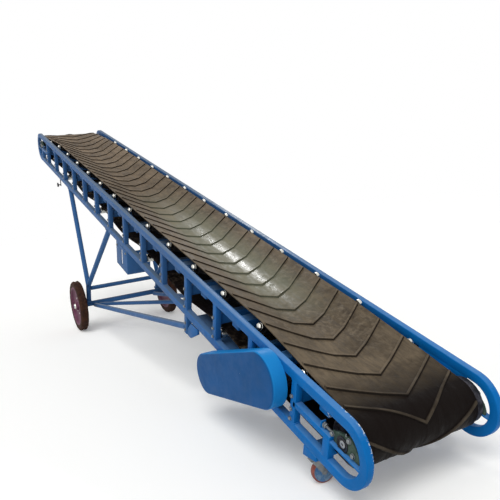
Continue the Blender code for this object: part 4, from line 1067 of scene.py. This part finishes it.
def casters():
    """Swivel casters: ball race, pressed fork, wheel centre and moulded tread."""
    trail, angle = 0.040, math.radians(-100)
    for _, name in SIDES:
        wheel = centre(name + "_caster_wheel")
        r, top = wheel.z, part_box(name + "_caster_fork")[1].z
        pivot = wheel - Vector((math.cos(angle), math.sin(angle), 0)) * trail
        turn = Matrix.Translation((pivot.x, pivot.y, 0)) @ Matrix.Rotation(angle, 4, "Z")
        bm = bmesh.new()
        crown, half = 2 * r + 0.006, 0.022
        turned(bm,
               [(0, top), (0.026, top), (0.026, top - 0.003), (0.022, top - 0.004), (0.025, top - 0.006),
                (0.0255, top - 0.009), (0.020, top - 0.0115), (0, top - 0.0115)], turn, 32)
        block(bm, (-0.022, 0.028), (-half - 0.003, half + 0.003), (crown, crown + 0.004), 1, 0.0015, turn)
        for way in (-1, 1):
            arm = [(-0.022, crown + 0.003), (0.028, crown + 0.003), (0.040, r + 0.022),
                   (trail + 0.015, r + 0.004),
                   (trail + 0.010, r - 0.010), (trail - 0.010, r - 0.010), (trail - 0.016, r + 0.004)]
            plate(bm, arm, sorted((way * half, way * (half + 0.003))), 0.001, turn)
        axle = turn @ upright((trail, 0, r), ACROSS)
        for way in (-1, 1):
            face = half + 0.003
            turned(bm, [(0, way * (face - 0.002)), (0.0105, way * (face - 0.002)),
                        (0.0105, way * (face + 0.0012)), (0, way * (face + 0.0012))], axle, 24)
            turned(bm, [(0, way * face), (0.0085, way * face), (0.0085, way * (face + 0.0042)),
                        (0.0072, way * (face + 0.005)), (0, way * (face + 0.005))], axle, 6)
        turned(bm, [(0, -face), (0.006, -face), (0.006, face), (0, face)], axle, 16)
        fit(as_object(name + "_caster_forks", bm), MATERIALS["dulled_zinc"], name + "_caster_fork", "zinc",
            name + "_caster_fork")
        bm = bmesh.new()
        out = [(0.0063, 0.019), (0.0125, 0.019), (0.0145, 0.017), (0.016, 0.0115), (r - 0.018, 0.0095),
               (r - 0.012, 0.0145), (r - 0.008, 0.0150)]
        turned(bm, out + [(a, -h) for a, h in reversed(out)], axle, 48, closed=True)
        fit(as_object(name + "_caster_centre", bm), MATERIALS["caster_centre"], name + "_caster_wheel",
            "zinc", name + "_caster_wheel")
        bm = bmesh.new()
        tread = [(r - 0.0085, 0.0148), (r - 0.006, 0.0160), (r - 0.0018, 0.0135), (r, 0.008)]
        turned(bm, tread + [(a, -h) for a, h in reversed(tread)], axle, 64, closed=True)
        fit(as_object(name + "_caster_tread", bm), MATERIALS["polyurethane_tread"], name + "_caster_wheel",
            "tread")


# Rollers, pulleys and housings

def idler_line(i):
    """Belt seat and wing slope at carrying set i."""
    share, top = trough_share(i), PULLEY_N + PULLEY_R + SEAT_GAP
    dip = 0.002 if share < 1 else 0.0
    return top + (BELT_SEAT - top) * share - dip, math.atan(TROUGH * share)


def roller_part(name, half, r, shaft):
    """Roller about Z: pressed ends, rolled edges and a shaft that stands out by shaft at each end."""
    bm = bmesh.new()
    side = [(0, half + shaft), (0.008, half + shaft), (0.009, half + shaft - 0.001), (0.009, half - 0.005),
            (0.017, half - 0.005), (0.018, half - 0.0005), (0.022, half - 0.003), (r - 0.004, half - 0.003),
            (r - 0.0028, half), (r - 0.0008, half - 0.0006), (r, half - 0.003)]
    turned(bm, side + [(a, -h) for a, h in reversed(side)], sides=32)
    return as_object(name, bm)


def rollers():
    """Troughing rollers on their brackets, and the return rollers with bright ends."""
    fold, outer = CENTRE_ROLL / 2, INNER - 0.030
    middle, wings, bm = [], [], bmesh.new()
    for i in range(STATIONS):
        seat, slope = idler_line(i)
        wing = seat - (ROLLER_R + SEAT_GAP) / math.cos(slope)
        s = station(i)
        middle.append((place(s, 0, seat - ROLLER_R - SEAT_GAP), facing(0, 1, 0)))
        for side, _ in SIDES:
            y = (fold + 0.014 + outer - 0.027) / 2
            aim = facing(0, side * math.cos(slope), math.sin(slope))
            wings.append((place(s, side * y, wing + (y - fold) * math.tan(slope)), aim))
            block(bm, (s - 0.018, s + 0.018), (fold - 0.001, fold + 0.005),
                  (0.0443, seat - ROLLER_R + 0.012), side, 0.001)
            block(bm, (s - 0.018, s + 0.018), (outer, outer + 0.006),
                  (0.0443, wing + (outer - fold) * math.tan(slope) + 0.010), side, 0.001)
    fit(as_object("roller_brackets", bm, matrix=CONVEYOR), MATERIALS["black_primed_roller"], "frame",
        "roller")
    half = (outer - 0.027 - fold - 0.014) / 2
    names = ["carrying_rollers_%02d" % (i + 1) for i in range(STATIONS)]
    for name, size, shaft, spots, stood in (("centre_rollers", fold - 0.0045, 0.004, middle, ()),
                                            ("wing_rollers", half / math.cos(math.atan(TROUGH)), 0.014,
                                             wings, names)):
        part = roller_part(name + "_part", size, ROLLER_R, shaft)
        made = scatter(name, part, spots, MATERIALS["black_primed_roller"], "frame", "roller")
        if stood:
            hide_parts(*stood)
    shaft_n = flat(centre("return_roller_1")).z
    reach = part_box("return_roller_1")[1].y
    spots = [(place(station(i), 0, shaft_n), facing(0, 1, 0)) for i in RETURN_STATIONS]
    part = roller_part("return_part", 0.30, ROLLER_R, 0.0)
    made = scatter("return_rollers", part, spots, MATERIALS["black_primed_roller"], "frame", "roller")
    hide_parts(*("return_roller_%d" % (k + 1) for k in range(len(RETURN_STATIONS))))
    bm = bmesh.new()
    for way in (-1, 1):
        end = [(0, 0.298), (0.024, 0.298), (ROLLER_R - 0.0006, 0.3005), (ROLLER_R - 0.0006, 0.344),
               (0.028, 0.348),
               (0.0185, 0.3485), (0.0175, 0.345), (0.010, 0.345), (0.009, reach), (0, reach)]
        turned(bm, [(a, way * h) for a, h in end], sides=32)
    part = as_object("end_part", bm)
    scatter("return_roller_ends", part, spots, MATERIALS["zinc_plate"], "frame", "zinc")


def pulleys():
    """Tail and head pulleys and drive drum: welded shells and end discs on centre-drilled shafts."""
    ends = bmesh.new()
    for node_name, r, end in (("tail_pulley", PULLEY_R, 0.006), ("head_pulley", PULLEY_R, 0.006),
                              ("drive_drum", DRUM_R, 0.0)):
        mid = centre(node_name)
        spot = place(flat(mid).x, 0, flat(mid).z)
        face, shaft = 0.35, 0.0175
        low, high = -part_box(node_name)[0].y - end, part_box(node_name)[1].y - end
        bm = bmesh.new()
        side = [(shaft, face - 0.012), (shaft + 0.020, face - 0.012), (shaft + 0.022, face - 0.020),
                (r - 0.016, face - 0.020), (r - 0.010, face - 0.004), (r - 0.008, face - 0.0005),
                (r - 0.001, face - 0.0005), (r, face - 0.0015)]
        profile = [(0, high), (shaft - 0.0015, high), (shaft, high - 0.0015)] + side
        profile += [(a, -h) for a, h in reversed(side)] + [(shaft, 0.0015 - low), (shaft - 0.0015, -low),
                                                           (0, -low)]
        turned(bm, profile, upright(spot, facing(0, 1, 0)), 72)
        fit(as_object(node_name + "_shell", bm), MATERIALS["worn_drum_steel"], "frame", "roller", node_name)
        for way, end in ((1, high), (-1, low)):
            turned(ends, [(0, end - 0.009), (0.0065, end + 0.0008), (0.0165, end + 0.0008),
                          (0.0179, end - 0.0006), (0.0179, end - 0.016), (0, end - 0.016)],
                   upright(spot, facing(0, way, 0)), 32)
    fit(as_object("shaft_ends", ends), MATERIALS["ground_shaft_steel"], "frame", "zinc")


def housings():
    """Cast take-up housings with hub, seal, bolts, grease nipple and adjusting screw."""
    base, face = -0.0147, HALF - 0.020
    cast, steel, seals, spots = {}, bmesh.new(), bmesh.new(), []
    outline = [(-0.112, base), (0.064, base), (0.064, 0.009), (0.080, 0.009), (0.080, 0.031),
               (0.060, 0.037),
               (0.044, 0.050), (0.018, 0.056), (-0.012, 0.062), (-0.034, 0.074), (-0.050, 0.070),
               (-0.072, 0.052), (-0.094, 0.032), (-0.110, 0.006)]
    for side, name in SIDES:
        for end, s0, way in (("tail", PULLEY_INSET, 1), ("head", BEND_SPAN - PULLEY_INSET, -1)):
            def at(x, y, n):
                return Vector((s0 + way * x, side * y, n))

            bm = bmesh.new()
            plate(bm, [(s0 + way * x, n) for x, n in outline], sorted((side * (HALF - 0.034), side * face)),
                  0.003)
            hub = upright(at(0, face, PULLEY_N), (0, side, 0))
            turned(bm,
                   [(0.0385, -0.012), (0.048, -0.012), (0.047, -0.003), (0.0445, 0.001), (0.0415, 0.0025),
                    (0.0385, 0.0020)], hub, 48, closed=True)
            for x, n in ((-0.073, 0.008), (-0.040, 0.060), (0.070, 0.020)):
                turned(bm, [(0, -0.004), (0.0135, -0.004), (0.0125, 0.0015), (0.0110, 0.0025), (0, 0.0025)],
                       upright(at(x, face, n), (0, side, 0)), 24)
                spots.append((place(*at(x, face + 0.002, n)), facing(0, side, 0)))
            cast[name, end] = bm
            turned(seals, [(0.0178, -0.010), (0.0383, -0.010), (0.0383, 0.0040), (0.0360, 0.0062),
                           (0.0300, 0.0050),
                           (0.0250, 0.0018), (0.0195, 0.0030), (0.0178, 0.002)], hub, 48, closed=True)
            screw = upright(at(0.079, HALF - 0.021, 0.022), (way, 0, 0))
            profile = [(0, 0.0)]
            for k in range(28):
                profile += [(0.0058, 0.0024 * k + 0.0004), (0.0070, 0.0024 * k + 0.0014)]
            turned(steel, profile + [(0.0055, 0.0682), (0, 0.0690)], screw, 16)
            for low, high in ((0.038, 0.048), (0.051, 0.0595)):
                turned(steel, [(0, low), (0.0115, low), (0.0132, low + 0.0014), (0.0132, high - 0.0014),
                               (0.0115, high), (0, high)], screw, 6)
            nipple = upright(at(-0.012, face - 0.004, 0.062), (0.3, 0, 1))
            turned(steel,
                   [(0, 0), (0.0045, 0), (0.0045, 0.006), (0.003, 0.007), (0.0034, 0.010), (0.0022, 0.012),
                    (0, 0.0125)], nipple, 12)
    for (name, end), bm in cast.items():
        fit(as_object(name + "_" + end + "_housing", bm, matrix=CONVEYOR), MATERIALS["primed_casting"],
            "frame", "cast", name + "_" + end + "_bearing")
    fit(as_object("take_up_screws", steel, matrix=CONVEYOR), MATERIALS["dulled_zinc"], "frame", "zinc")
    fit(as_object("shaft_seals", seals, matrix=CONVEYOR), MATERIALS["black_phenolic"], "frame", "roller")
    part = bolt_part(HOUSING_BOLT)
    scatter("housing_bolts", part, spots, MATERIALS["dulled_zinc"], "frame", "zinc")


# Drive

GUARD_Y = (SEAT_GAP, 0.080)


def two_circles(first, second, extra=0.0, steps=36):
    """Outline round two circles of (s, n, radius), as (s, n) points."""
    (s0, n0, r0), (s1, n1, r1) = first, second
    r0, r1 = r0 + extra, r1 + extra
    heading = math.atan2(n1 - n0, s1 - s0)
    open_angle = math.acos((r0 - r1) / math.hypot(s1 - s0, n1 - n0))
    points = []
    for s, n, r, low, high in ((s0, n0, r0, heading + open_angle, heading + 2 * math.pi - open_angle),
                               (s1, n1, r1, heading - open_angle, heading + open_angle)):
        for k in range(steps + 1):
            a = low + (high - low) * k / steps
            points.append((s + r * math.cos(a), n + r * math.sin(a)))
    return points


def guard():
    """Pressed drive guard: rolled edge and flat face, open at the back."""
    big, small = (0.575, 0.021, 0.147), (MOTOR_S, MOTOR_N, 0.122)
    near, far, skin = HALF + GUARD_Y[0], HALF + GUARD_Y[1], 0.003
    profile = [(0.0, near), (0.0, far - 0.011)]
    for k in range(1, 7):
        a = math.radians(15 * k)
        profile.append((0.011 * (math.cos(a) - 1), far - 0.011 + 0.011 * math.sin(a)))
    profile += [(-0.060, far)]
    inside = [(max(-0.060, e - skin), y - skin if y > near else near) for e, y in profile[::-1]]
    inside[-2] = (-skin, far - 0.011)
    bm = bmesh.new()
    loft(bm, [[(s, y, n) for s, n in two_circles(big, small, extra)] for extra, y in inside + profile])
    fit(as_object("guard_shell", bm, 50, CONVEYOR), MATERIALS["guard_enamel"], "frame", "blue",
        "drive_guard")


def sheaves():
    """Grooved sheaves of the drive and the two V-belts round them."""
    near, far = HALF + 0.016, HALF + 0.052
    drum = flat(centre("drive_drum"))
    metal, belts = bmesh.new(), bmesh.new()
    spots = ((drum.x, drum.z, 0.105), (MOTOR_S, MOTOR_N, 0.055))
    for s, n, r in spots:
        profile = [(0, near), (r - 0.001, near), (r, near + 0.001)]
        for groove in (near + 0.010, far - 0.010):
            profile += [(r, groove - 0.0055), (r - 0.011, groove - 0.0035), (r - 0.011, groove + 0.0035),
                        (r, groove + 0.0055)]
        profile += [(r, far - 0.001), (r - 0.001, far), (r - 0.012, far), (r - 0.014, far - 0.006),
                    (0.030, far - 0.006), (0.028, far), (0.018, far), (0.0165, far + 0.006),
                    (0, far + 0.006)]
        turned(metal, profile, upright((s, 0, n), ACROSS), 56)
    for y in (near + 0.010, far - 0.010):
        path = [(s, y, n) for s, n in two_circles(*spots, extra=-0.0045)]
        sweep(belts, path, [(0.0030, -0.0045), (0.0048, 0.0040), (-0.0048, 0.0040), (-0.0030, -0.0045)],
              ACROSS, closed=True)
    fit(as_object("drive_sheaves", metal, matrix=CONVEYOR), MATERIALS["primed_casting"], "frame", "cast")
    fit(as_object("drive_v_belts", belts, matrix=CONVEYOR), MATERIALS["black_phenolic"], "frame", "roller")


def motor():
    """Foot-mounted squirrel-cage motor: finned housing, end bells, fan cowl, terminal box and feet."""
    s0, n0, front = MOTOR_S, MOTOR_N, HALF - 0.10
    back = front - 0.32
    top = -FRAME_DEPTH / 2 - SEAT_GAP - MOTOR_PLATE - SEAT_GAP
    stand = upright((s0, 0, n0), ACROSS)
    bm, ring = bmesh.new(), []
    for k in range(44):
        a = 2 * math.pi * k / 44
        for r, shift in ((0.071, -0.048), (0.0815, -0.026), (0.0815, 0.026), (0.071, 0.048)):
            ring.append((r * math.cos(a + shift), r * math.sin(a + shift)))
    sweep(bm, [(s0, back + 0.045, n0), (s0, front - 0.045, n0)], ring, (1, 0, 0))
    for end, way in ((front, -1), (back, 1)):
        turned(bm, [(0, end), (0.030, end), (0.034, end + way * 0.004), (0.060, end + way * 0.010),
                    (0.078, end + way * 0.018), (0.082, end + way * 0.026), (0.082, end + way * 0.048),
                    (0.074, end + way * 0.052), (0, end + way * 0.052)], stand, 48)
    cowl = back - 0.040
    profile = [(0.084, back + 0.012), (0.088, back + 0.010), (0.088, cowl + 0.010), (0.084, cowl + 0.003),
               (0.076, cowl)]
    for r in (0.066, 0.052, 0.038, 0.024):
        profile += [(r + 0.0035, cowl), (r + 0.003, cowl + 0.005), (r - 0.003, cowl + 0.005),
                    (r - 0.0035, cowl)]
    turned(bm, profile + [(0, cowl)], stand, 48)
    for mid in (front - 0.04, back + 0.08):
        block(bm, (s0 - 0.075, s0 + 0.075), (mid - 0.03, mid + 0.03), (top - 0.012, top), 1, 0.002)
        for x in (-0.062, 0.050):
            block(bm, (s0 + x, s0 + x + 0.012), (mid - 0.03, mid + 0.03), (n0 + 0.030, top - 0.006), 1,
                  0.002)
    middle = (front + back) / 2
    block(bm, (s0 - 0.118, s0 - 0.066), (middle - 0.055, middle + 0.055), (n0 - 0.048, n0 + 0.048), 1,
          0.004)
    block(bm, (s0 - 0.128, s0 - 0.117), (middle - 0.060, middle + 0.060), (n0 - 0.053, n0 + 0.053), 1,
          0.004)
    turned(bm, [(0, 0), (0.013, 0), (0.013, 0.012), (0.009, 0.018), (0, 0.018)],
           upright((s0 - 0.096, middle - 0.030, n0 - 0.047), (0, 0, -1)), 12)
    fit(as_object("motor_body", bm, 40, CONVEYOR), MATERIALS["motor_paint"], "frame", "motor",
        "drive_motor")
    bm = bmesh.new()
    turned(bm, [(0, front - 0.01), (0.014, front - 0.01), (0.014, HALF + 0.055), (0.0125, HALF + 0.057),
                (0, HALF + 0.057)], stand, 24)
    fit(as_object("motor_shaft", bm, matrix=CONVEYOR), MATERIALS["ground_shaft_steel"], "frame", "zinc")


def small_parts():
    """Star knob, its edges eased."""
    rework("star_knob", "star_knob_grip", "black_phenolic", "knob", 0.002)


# Studio

def studio(scene):
    """Pale floor, soft lamps, a white room and the camera at the photograph's view."""
    given = scene.conveyor_stage
    bm = bmesh.new()
    bmesh.ops.create_grid(bm, x_segments=1, y_segments=1, size=60)
    floor = as_object("studio_floor", bm)
    tree, shader, coords = begin("studio_floor_paper", 0.9)
    shader.inputs["Specular IOR Level"].default_value = 0.1
    shader.inputs["Base Color"].default_value = (*given.floor, 1.0)
    # The paper sweeps out into the white room, so it has no far edge, and from below it is not there
    distance = node(tree, "ShaderNodeVectorMath", {0: coords}, operation="LENGTH").outputs["Value"]
    under = node(tree, "ShaderNodeNewGeometry").outputs["Backfacing"]
    solid = multiply(tree, ramp(tree, distance, 7.0, 20.0, 1.0, 0.0), under, "SUBTRACT")
    tree.links.new(multiply(tree, solid, 0.0, "MAXIMUM"), shader.inputs["Alpha"])
    # Seen or mirrored, the paper is a little brighter than the light it gives, so that it stays white
    path = node(tree, "ShaderNodeLightPath").outputs
    shown = multiply(tree, multiply(tree, path["Is Camera Ray"], path["Is Glossy Ray"], "ADD"),
                     path["Is Transmission Ray"], "ADD")
    shader.inputs["Emission Color"].default_value = (1, 1, 1, 1)
    tree.links.new(ramp(tree, shown, 0.0, 1.0, 0.0, 0.17), shader.inputs["Emission Strength"])
    floor.data.materials.append(MATERIALS["studio_floor_paper"])
    world = bpy.data.worlds.new("studio_room")
    scene.world = world
    world.use_nodes = True
    tree = world.node_tree
    tree.nodes.clear()
    path = node(tree, "ShaderNodeLightPath").outputs
    shown = multiply(tree, multiply(tree, path["Is Camera Ray"], path["Is Glossy Ray"], "ADD"),
                     path["Is Transmission Ray"], "ADD")
    strength = ramp(tree, shown, 0.0, 1.0, given.sky, 1.0)
    light = node(tree, "ShaderNodeBackground", {"Color": (1, 1, 1, 1), "Strength": strength})
    node(tree, "ShaderNodeOutputWorld", {"Surface": light.outputs[0]})
    for name, power, spread, direction in (("key_light", given.sun, 40, (0.35, -0.35, -0.87)),
                                           ("fill_light", given.sun * 0.35, 60, (0.75, -0.55, -0.35))):
        lamp = bpy.data.lights.new(name, "SUN")
        lamp.energy = power
        lamp.angle = math.radians(spread)
        obj = bpy.data.objects.new(name, lamp)
        obj.rotation_euler = Vector(direction).to_track_quat("-Z", "Y").to_euler()
        scene.collection.objects.link(obj)
    # Strip lamp whose mirror image falls on the polished middle of the belt
    spot, up = place(1.68, -0.03, BELT_SEAT + 0.008), facing(0, 0, 1)
    ray = (spot - VIEW_POINT).normalized()
    back = ray - 2 * ray.dot(up) * up
    lamp = bpy.data.lights.new("strip_light", "AREA")
    lamp.shape, lamp.size, lamp.size_y, lamp.energy = "RECTANGLE", 0.16, 0.8, given.strip
    lamp.spread = math.radians(24)
    strip = bpy.data.objects.new("strip_light", lamp)
    strip.matrix_world = upright(spot + back * 6.0, back)
    strip.visible_camera = False
    scene.collection.objects.link(strip)
    data = bpy.data.cameras.new("photo_view")
    data.sensor_width = 36.0
    data.lens = given.lens
    camera = bpy.data.objects.new("photo_view", data)
    right, down, ahead = (Vector((-0.47443, -0.87406, -0.10456)), Vector((-0.05734, 0.14921, -0.98714)),
                          Vector((0.87842, -0.46234, -0.12091)))
    turn = Matrix((right, -down, -ahead)).transposed()
    camera.matrix_world = Matrix.Translation(VIEW_POINT) @ turn.to_4x4()
    data.clip_start, data.clip_end = 0.05, 200
    scene.collection.objects.link(camera)
    scene.camera = camera
    scene.view_settings.view_transform = "Standard"


class CONVEYOR_OT_finishes(bpy.types.Operator):
    """Make the paints, rubbers and metals"""
    bl_idname = "conveyor.finishes"
    bl_label = "Mix the finishes"

    def execute(self, context):
        make_materials(context.scene)
        return {"FINISHED"}


class CONVEYOR_OT_belt(bpy.types.Operator):
    """Lay the chevron belt round its pulleys"""
    bl_idname = "conveyor.belt"
    bl_label = "Lay the belt"

    def execute(self, context):
        make_belt(context.scene)
        return {"FINISHED"}


class CONVEYOR_OT_caps(bpy.types.Operator):
    """Press the caps on the roller ends"""
    bl_idname = "conveyor.caps"
    bl_label = "Cap the rollers"

    def execute(self, context):
        roller_caps(context.scene)
        return {"FINISHED"}


class CONVEYOR_OT_bolts(bpy.types.Operator):
    """Set the bolts of the side frames"""
    bl_idname = "conveyor.bolts"
    bl_label = "Bolt the frame"

    def execute(self, context):
        frame_bolts(context.scene)
        return {"FINISHED"}


class CONVEYOR_OT_side_frames(bpy.types.Operator):
    """Bend and weld the two side frames"""
    bl_idname = "conveyor.side_frames"
    bl_label = "Weld the side frames"

    def execute(self, context):
        side_frames()
        weld_beads()
        return {"FINISHED"}


class CONVEYOR_OT_deck(bpy.types.Operator):
    """Set the rungs, bars and plain folded parts"""
    bl_idname = "conveyor.deck"
    bl_label = "Fit the deck"

    def execute(self, context):
        deck()
        plain_parts()
        return {"FINISHED"}


class CONVEYOR_OT_undercarriage(bpy.types.Operator):
    """Weld the legs, braces and axle"""
    bl_idname = "conveyor.undercarriage"
    bl_label = "Weld the undercarriage"

    def execute(self, context):
        undercarriage()
        return {"FINISHED"}


class CONVEYOR_OT_wheels(bpy.types.Operator):
    """Mount the road wheels and the swivel casters"""
    bl_idname = "conveyor.wheels"
    bl_label = "Mount the wheels"

    def execute(self, context):
        road_wheels()
        casters()
        return {"FINISHED"}


class CONVEYOR_OT_rollers(bpy.types.Operator):
    """Set the rollers and pulleys"""
    bl_idname = "conveyor.rollers"
    bl_label = "Set the rollers"

    def execute(self, context):
        rollers()
        pulleys()
        return {"FINISHED"}


class CONVEYOR_OT_housings(bpy.types.Operator):
    """Mount the take-up housings and their screws"""
    bl_idname = "conveyor.housings"
    bl_label = "Mount the housings"

    def execute(self, context):
        housings()
        return {"FINISHED"}


class CONVEYOR_OT_drive(bpy.types.Operator):
    """Mount the motor, sheaves, V-belts, guard and knob"""
    bl_idname = "conveyor.drive"
    bl_label = "Mount the drive"

    def execute(self, context):
        motor()
        sheaves()
        guard()
        small_parts()
        return {"FINISHED"}


class CONVEYOR_OT_studio(bpy.types.Operator):
    """Set up the floor, the light and the camera"""
    bl_idname = "conveyor.studio"
    bl_label = "Set up the studio"

    def execute(self, context):
        studio(context.scene)
        return {"FINISHED"}


class CONVEYOR_PT_panel(bpy.types.Panel):
    """Steps and sizes of the conveyor"""
    bl_idname = "CONVEYOR_PT_panel"
    bl_label = "Belt conveyor"
    bl_space_type = "VIEW_3D"
    bl_region_type = "UI"
    bl_category = "Conveyor"

    def draw(self, context):
        for operator in OPERATORS:
            self.layout.operator(operator.bl_idname)
        for group in GROUPS:
            settings = getattr(context.scene, group)
            for key in settings.__annotations__:
                self.layout.prop(settings, key)


GROUPS = {"conveyor_finish": FinishSettings, "conveyor_belt": BeltSettings,
          "conveyor_hardware": HardwareSettings, "conveyor_stage": StageSettings}
OPERATORS = (CONVEYOR_OT_finishes, CONVEYOR_OT_belt, CONVEYOR_OT_side_frames, CONVEYOR_OT_deck,
             CONVEYOR_OT_undercarriage, CONVEYOR_OT_wheels, CONVEYOR_OT_rollers, CONVEYOR_OT_housings,
             CONVEYOR_OT_drive, CONVEYOR_OT_caps, CONVEYOR_OT_bolts, CONVEYOR_OT_studio)


def register():
    for name, group in GROUPS.items():
        bpy.utils.register_class(group)
        setattr(bpy.types.Scene, name, PointerProperty(type=group))
    for item in (*OPERATORS, CONVEYOR_PT_panel):
        bpy.utils.register_class(item)


def unregister():
    for item in (CONVEYOR_PT_panel, *reversed(OPERATORS)):
        bpy.utils.unregister_class(item)
    for name, group in GROUPS.items():
        delattr(bpy.types.Scene, name)
        bpy.utils.unregister_class(group)


def main():
    """Makes every piece in order."""
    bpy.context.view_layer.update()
    register()
    for operator in OPERATORS:
        family, name = operator.bl_idname.split(".")
        getattr(getattr(bpy.ops, family), name)()


if __name__ == "__main__":
    main()
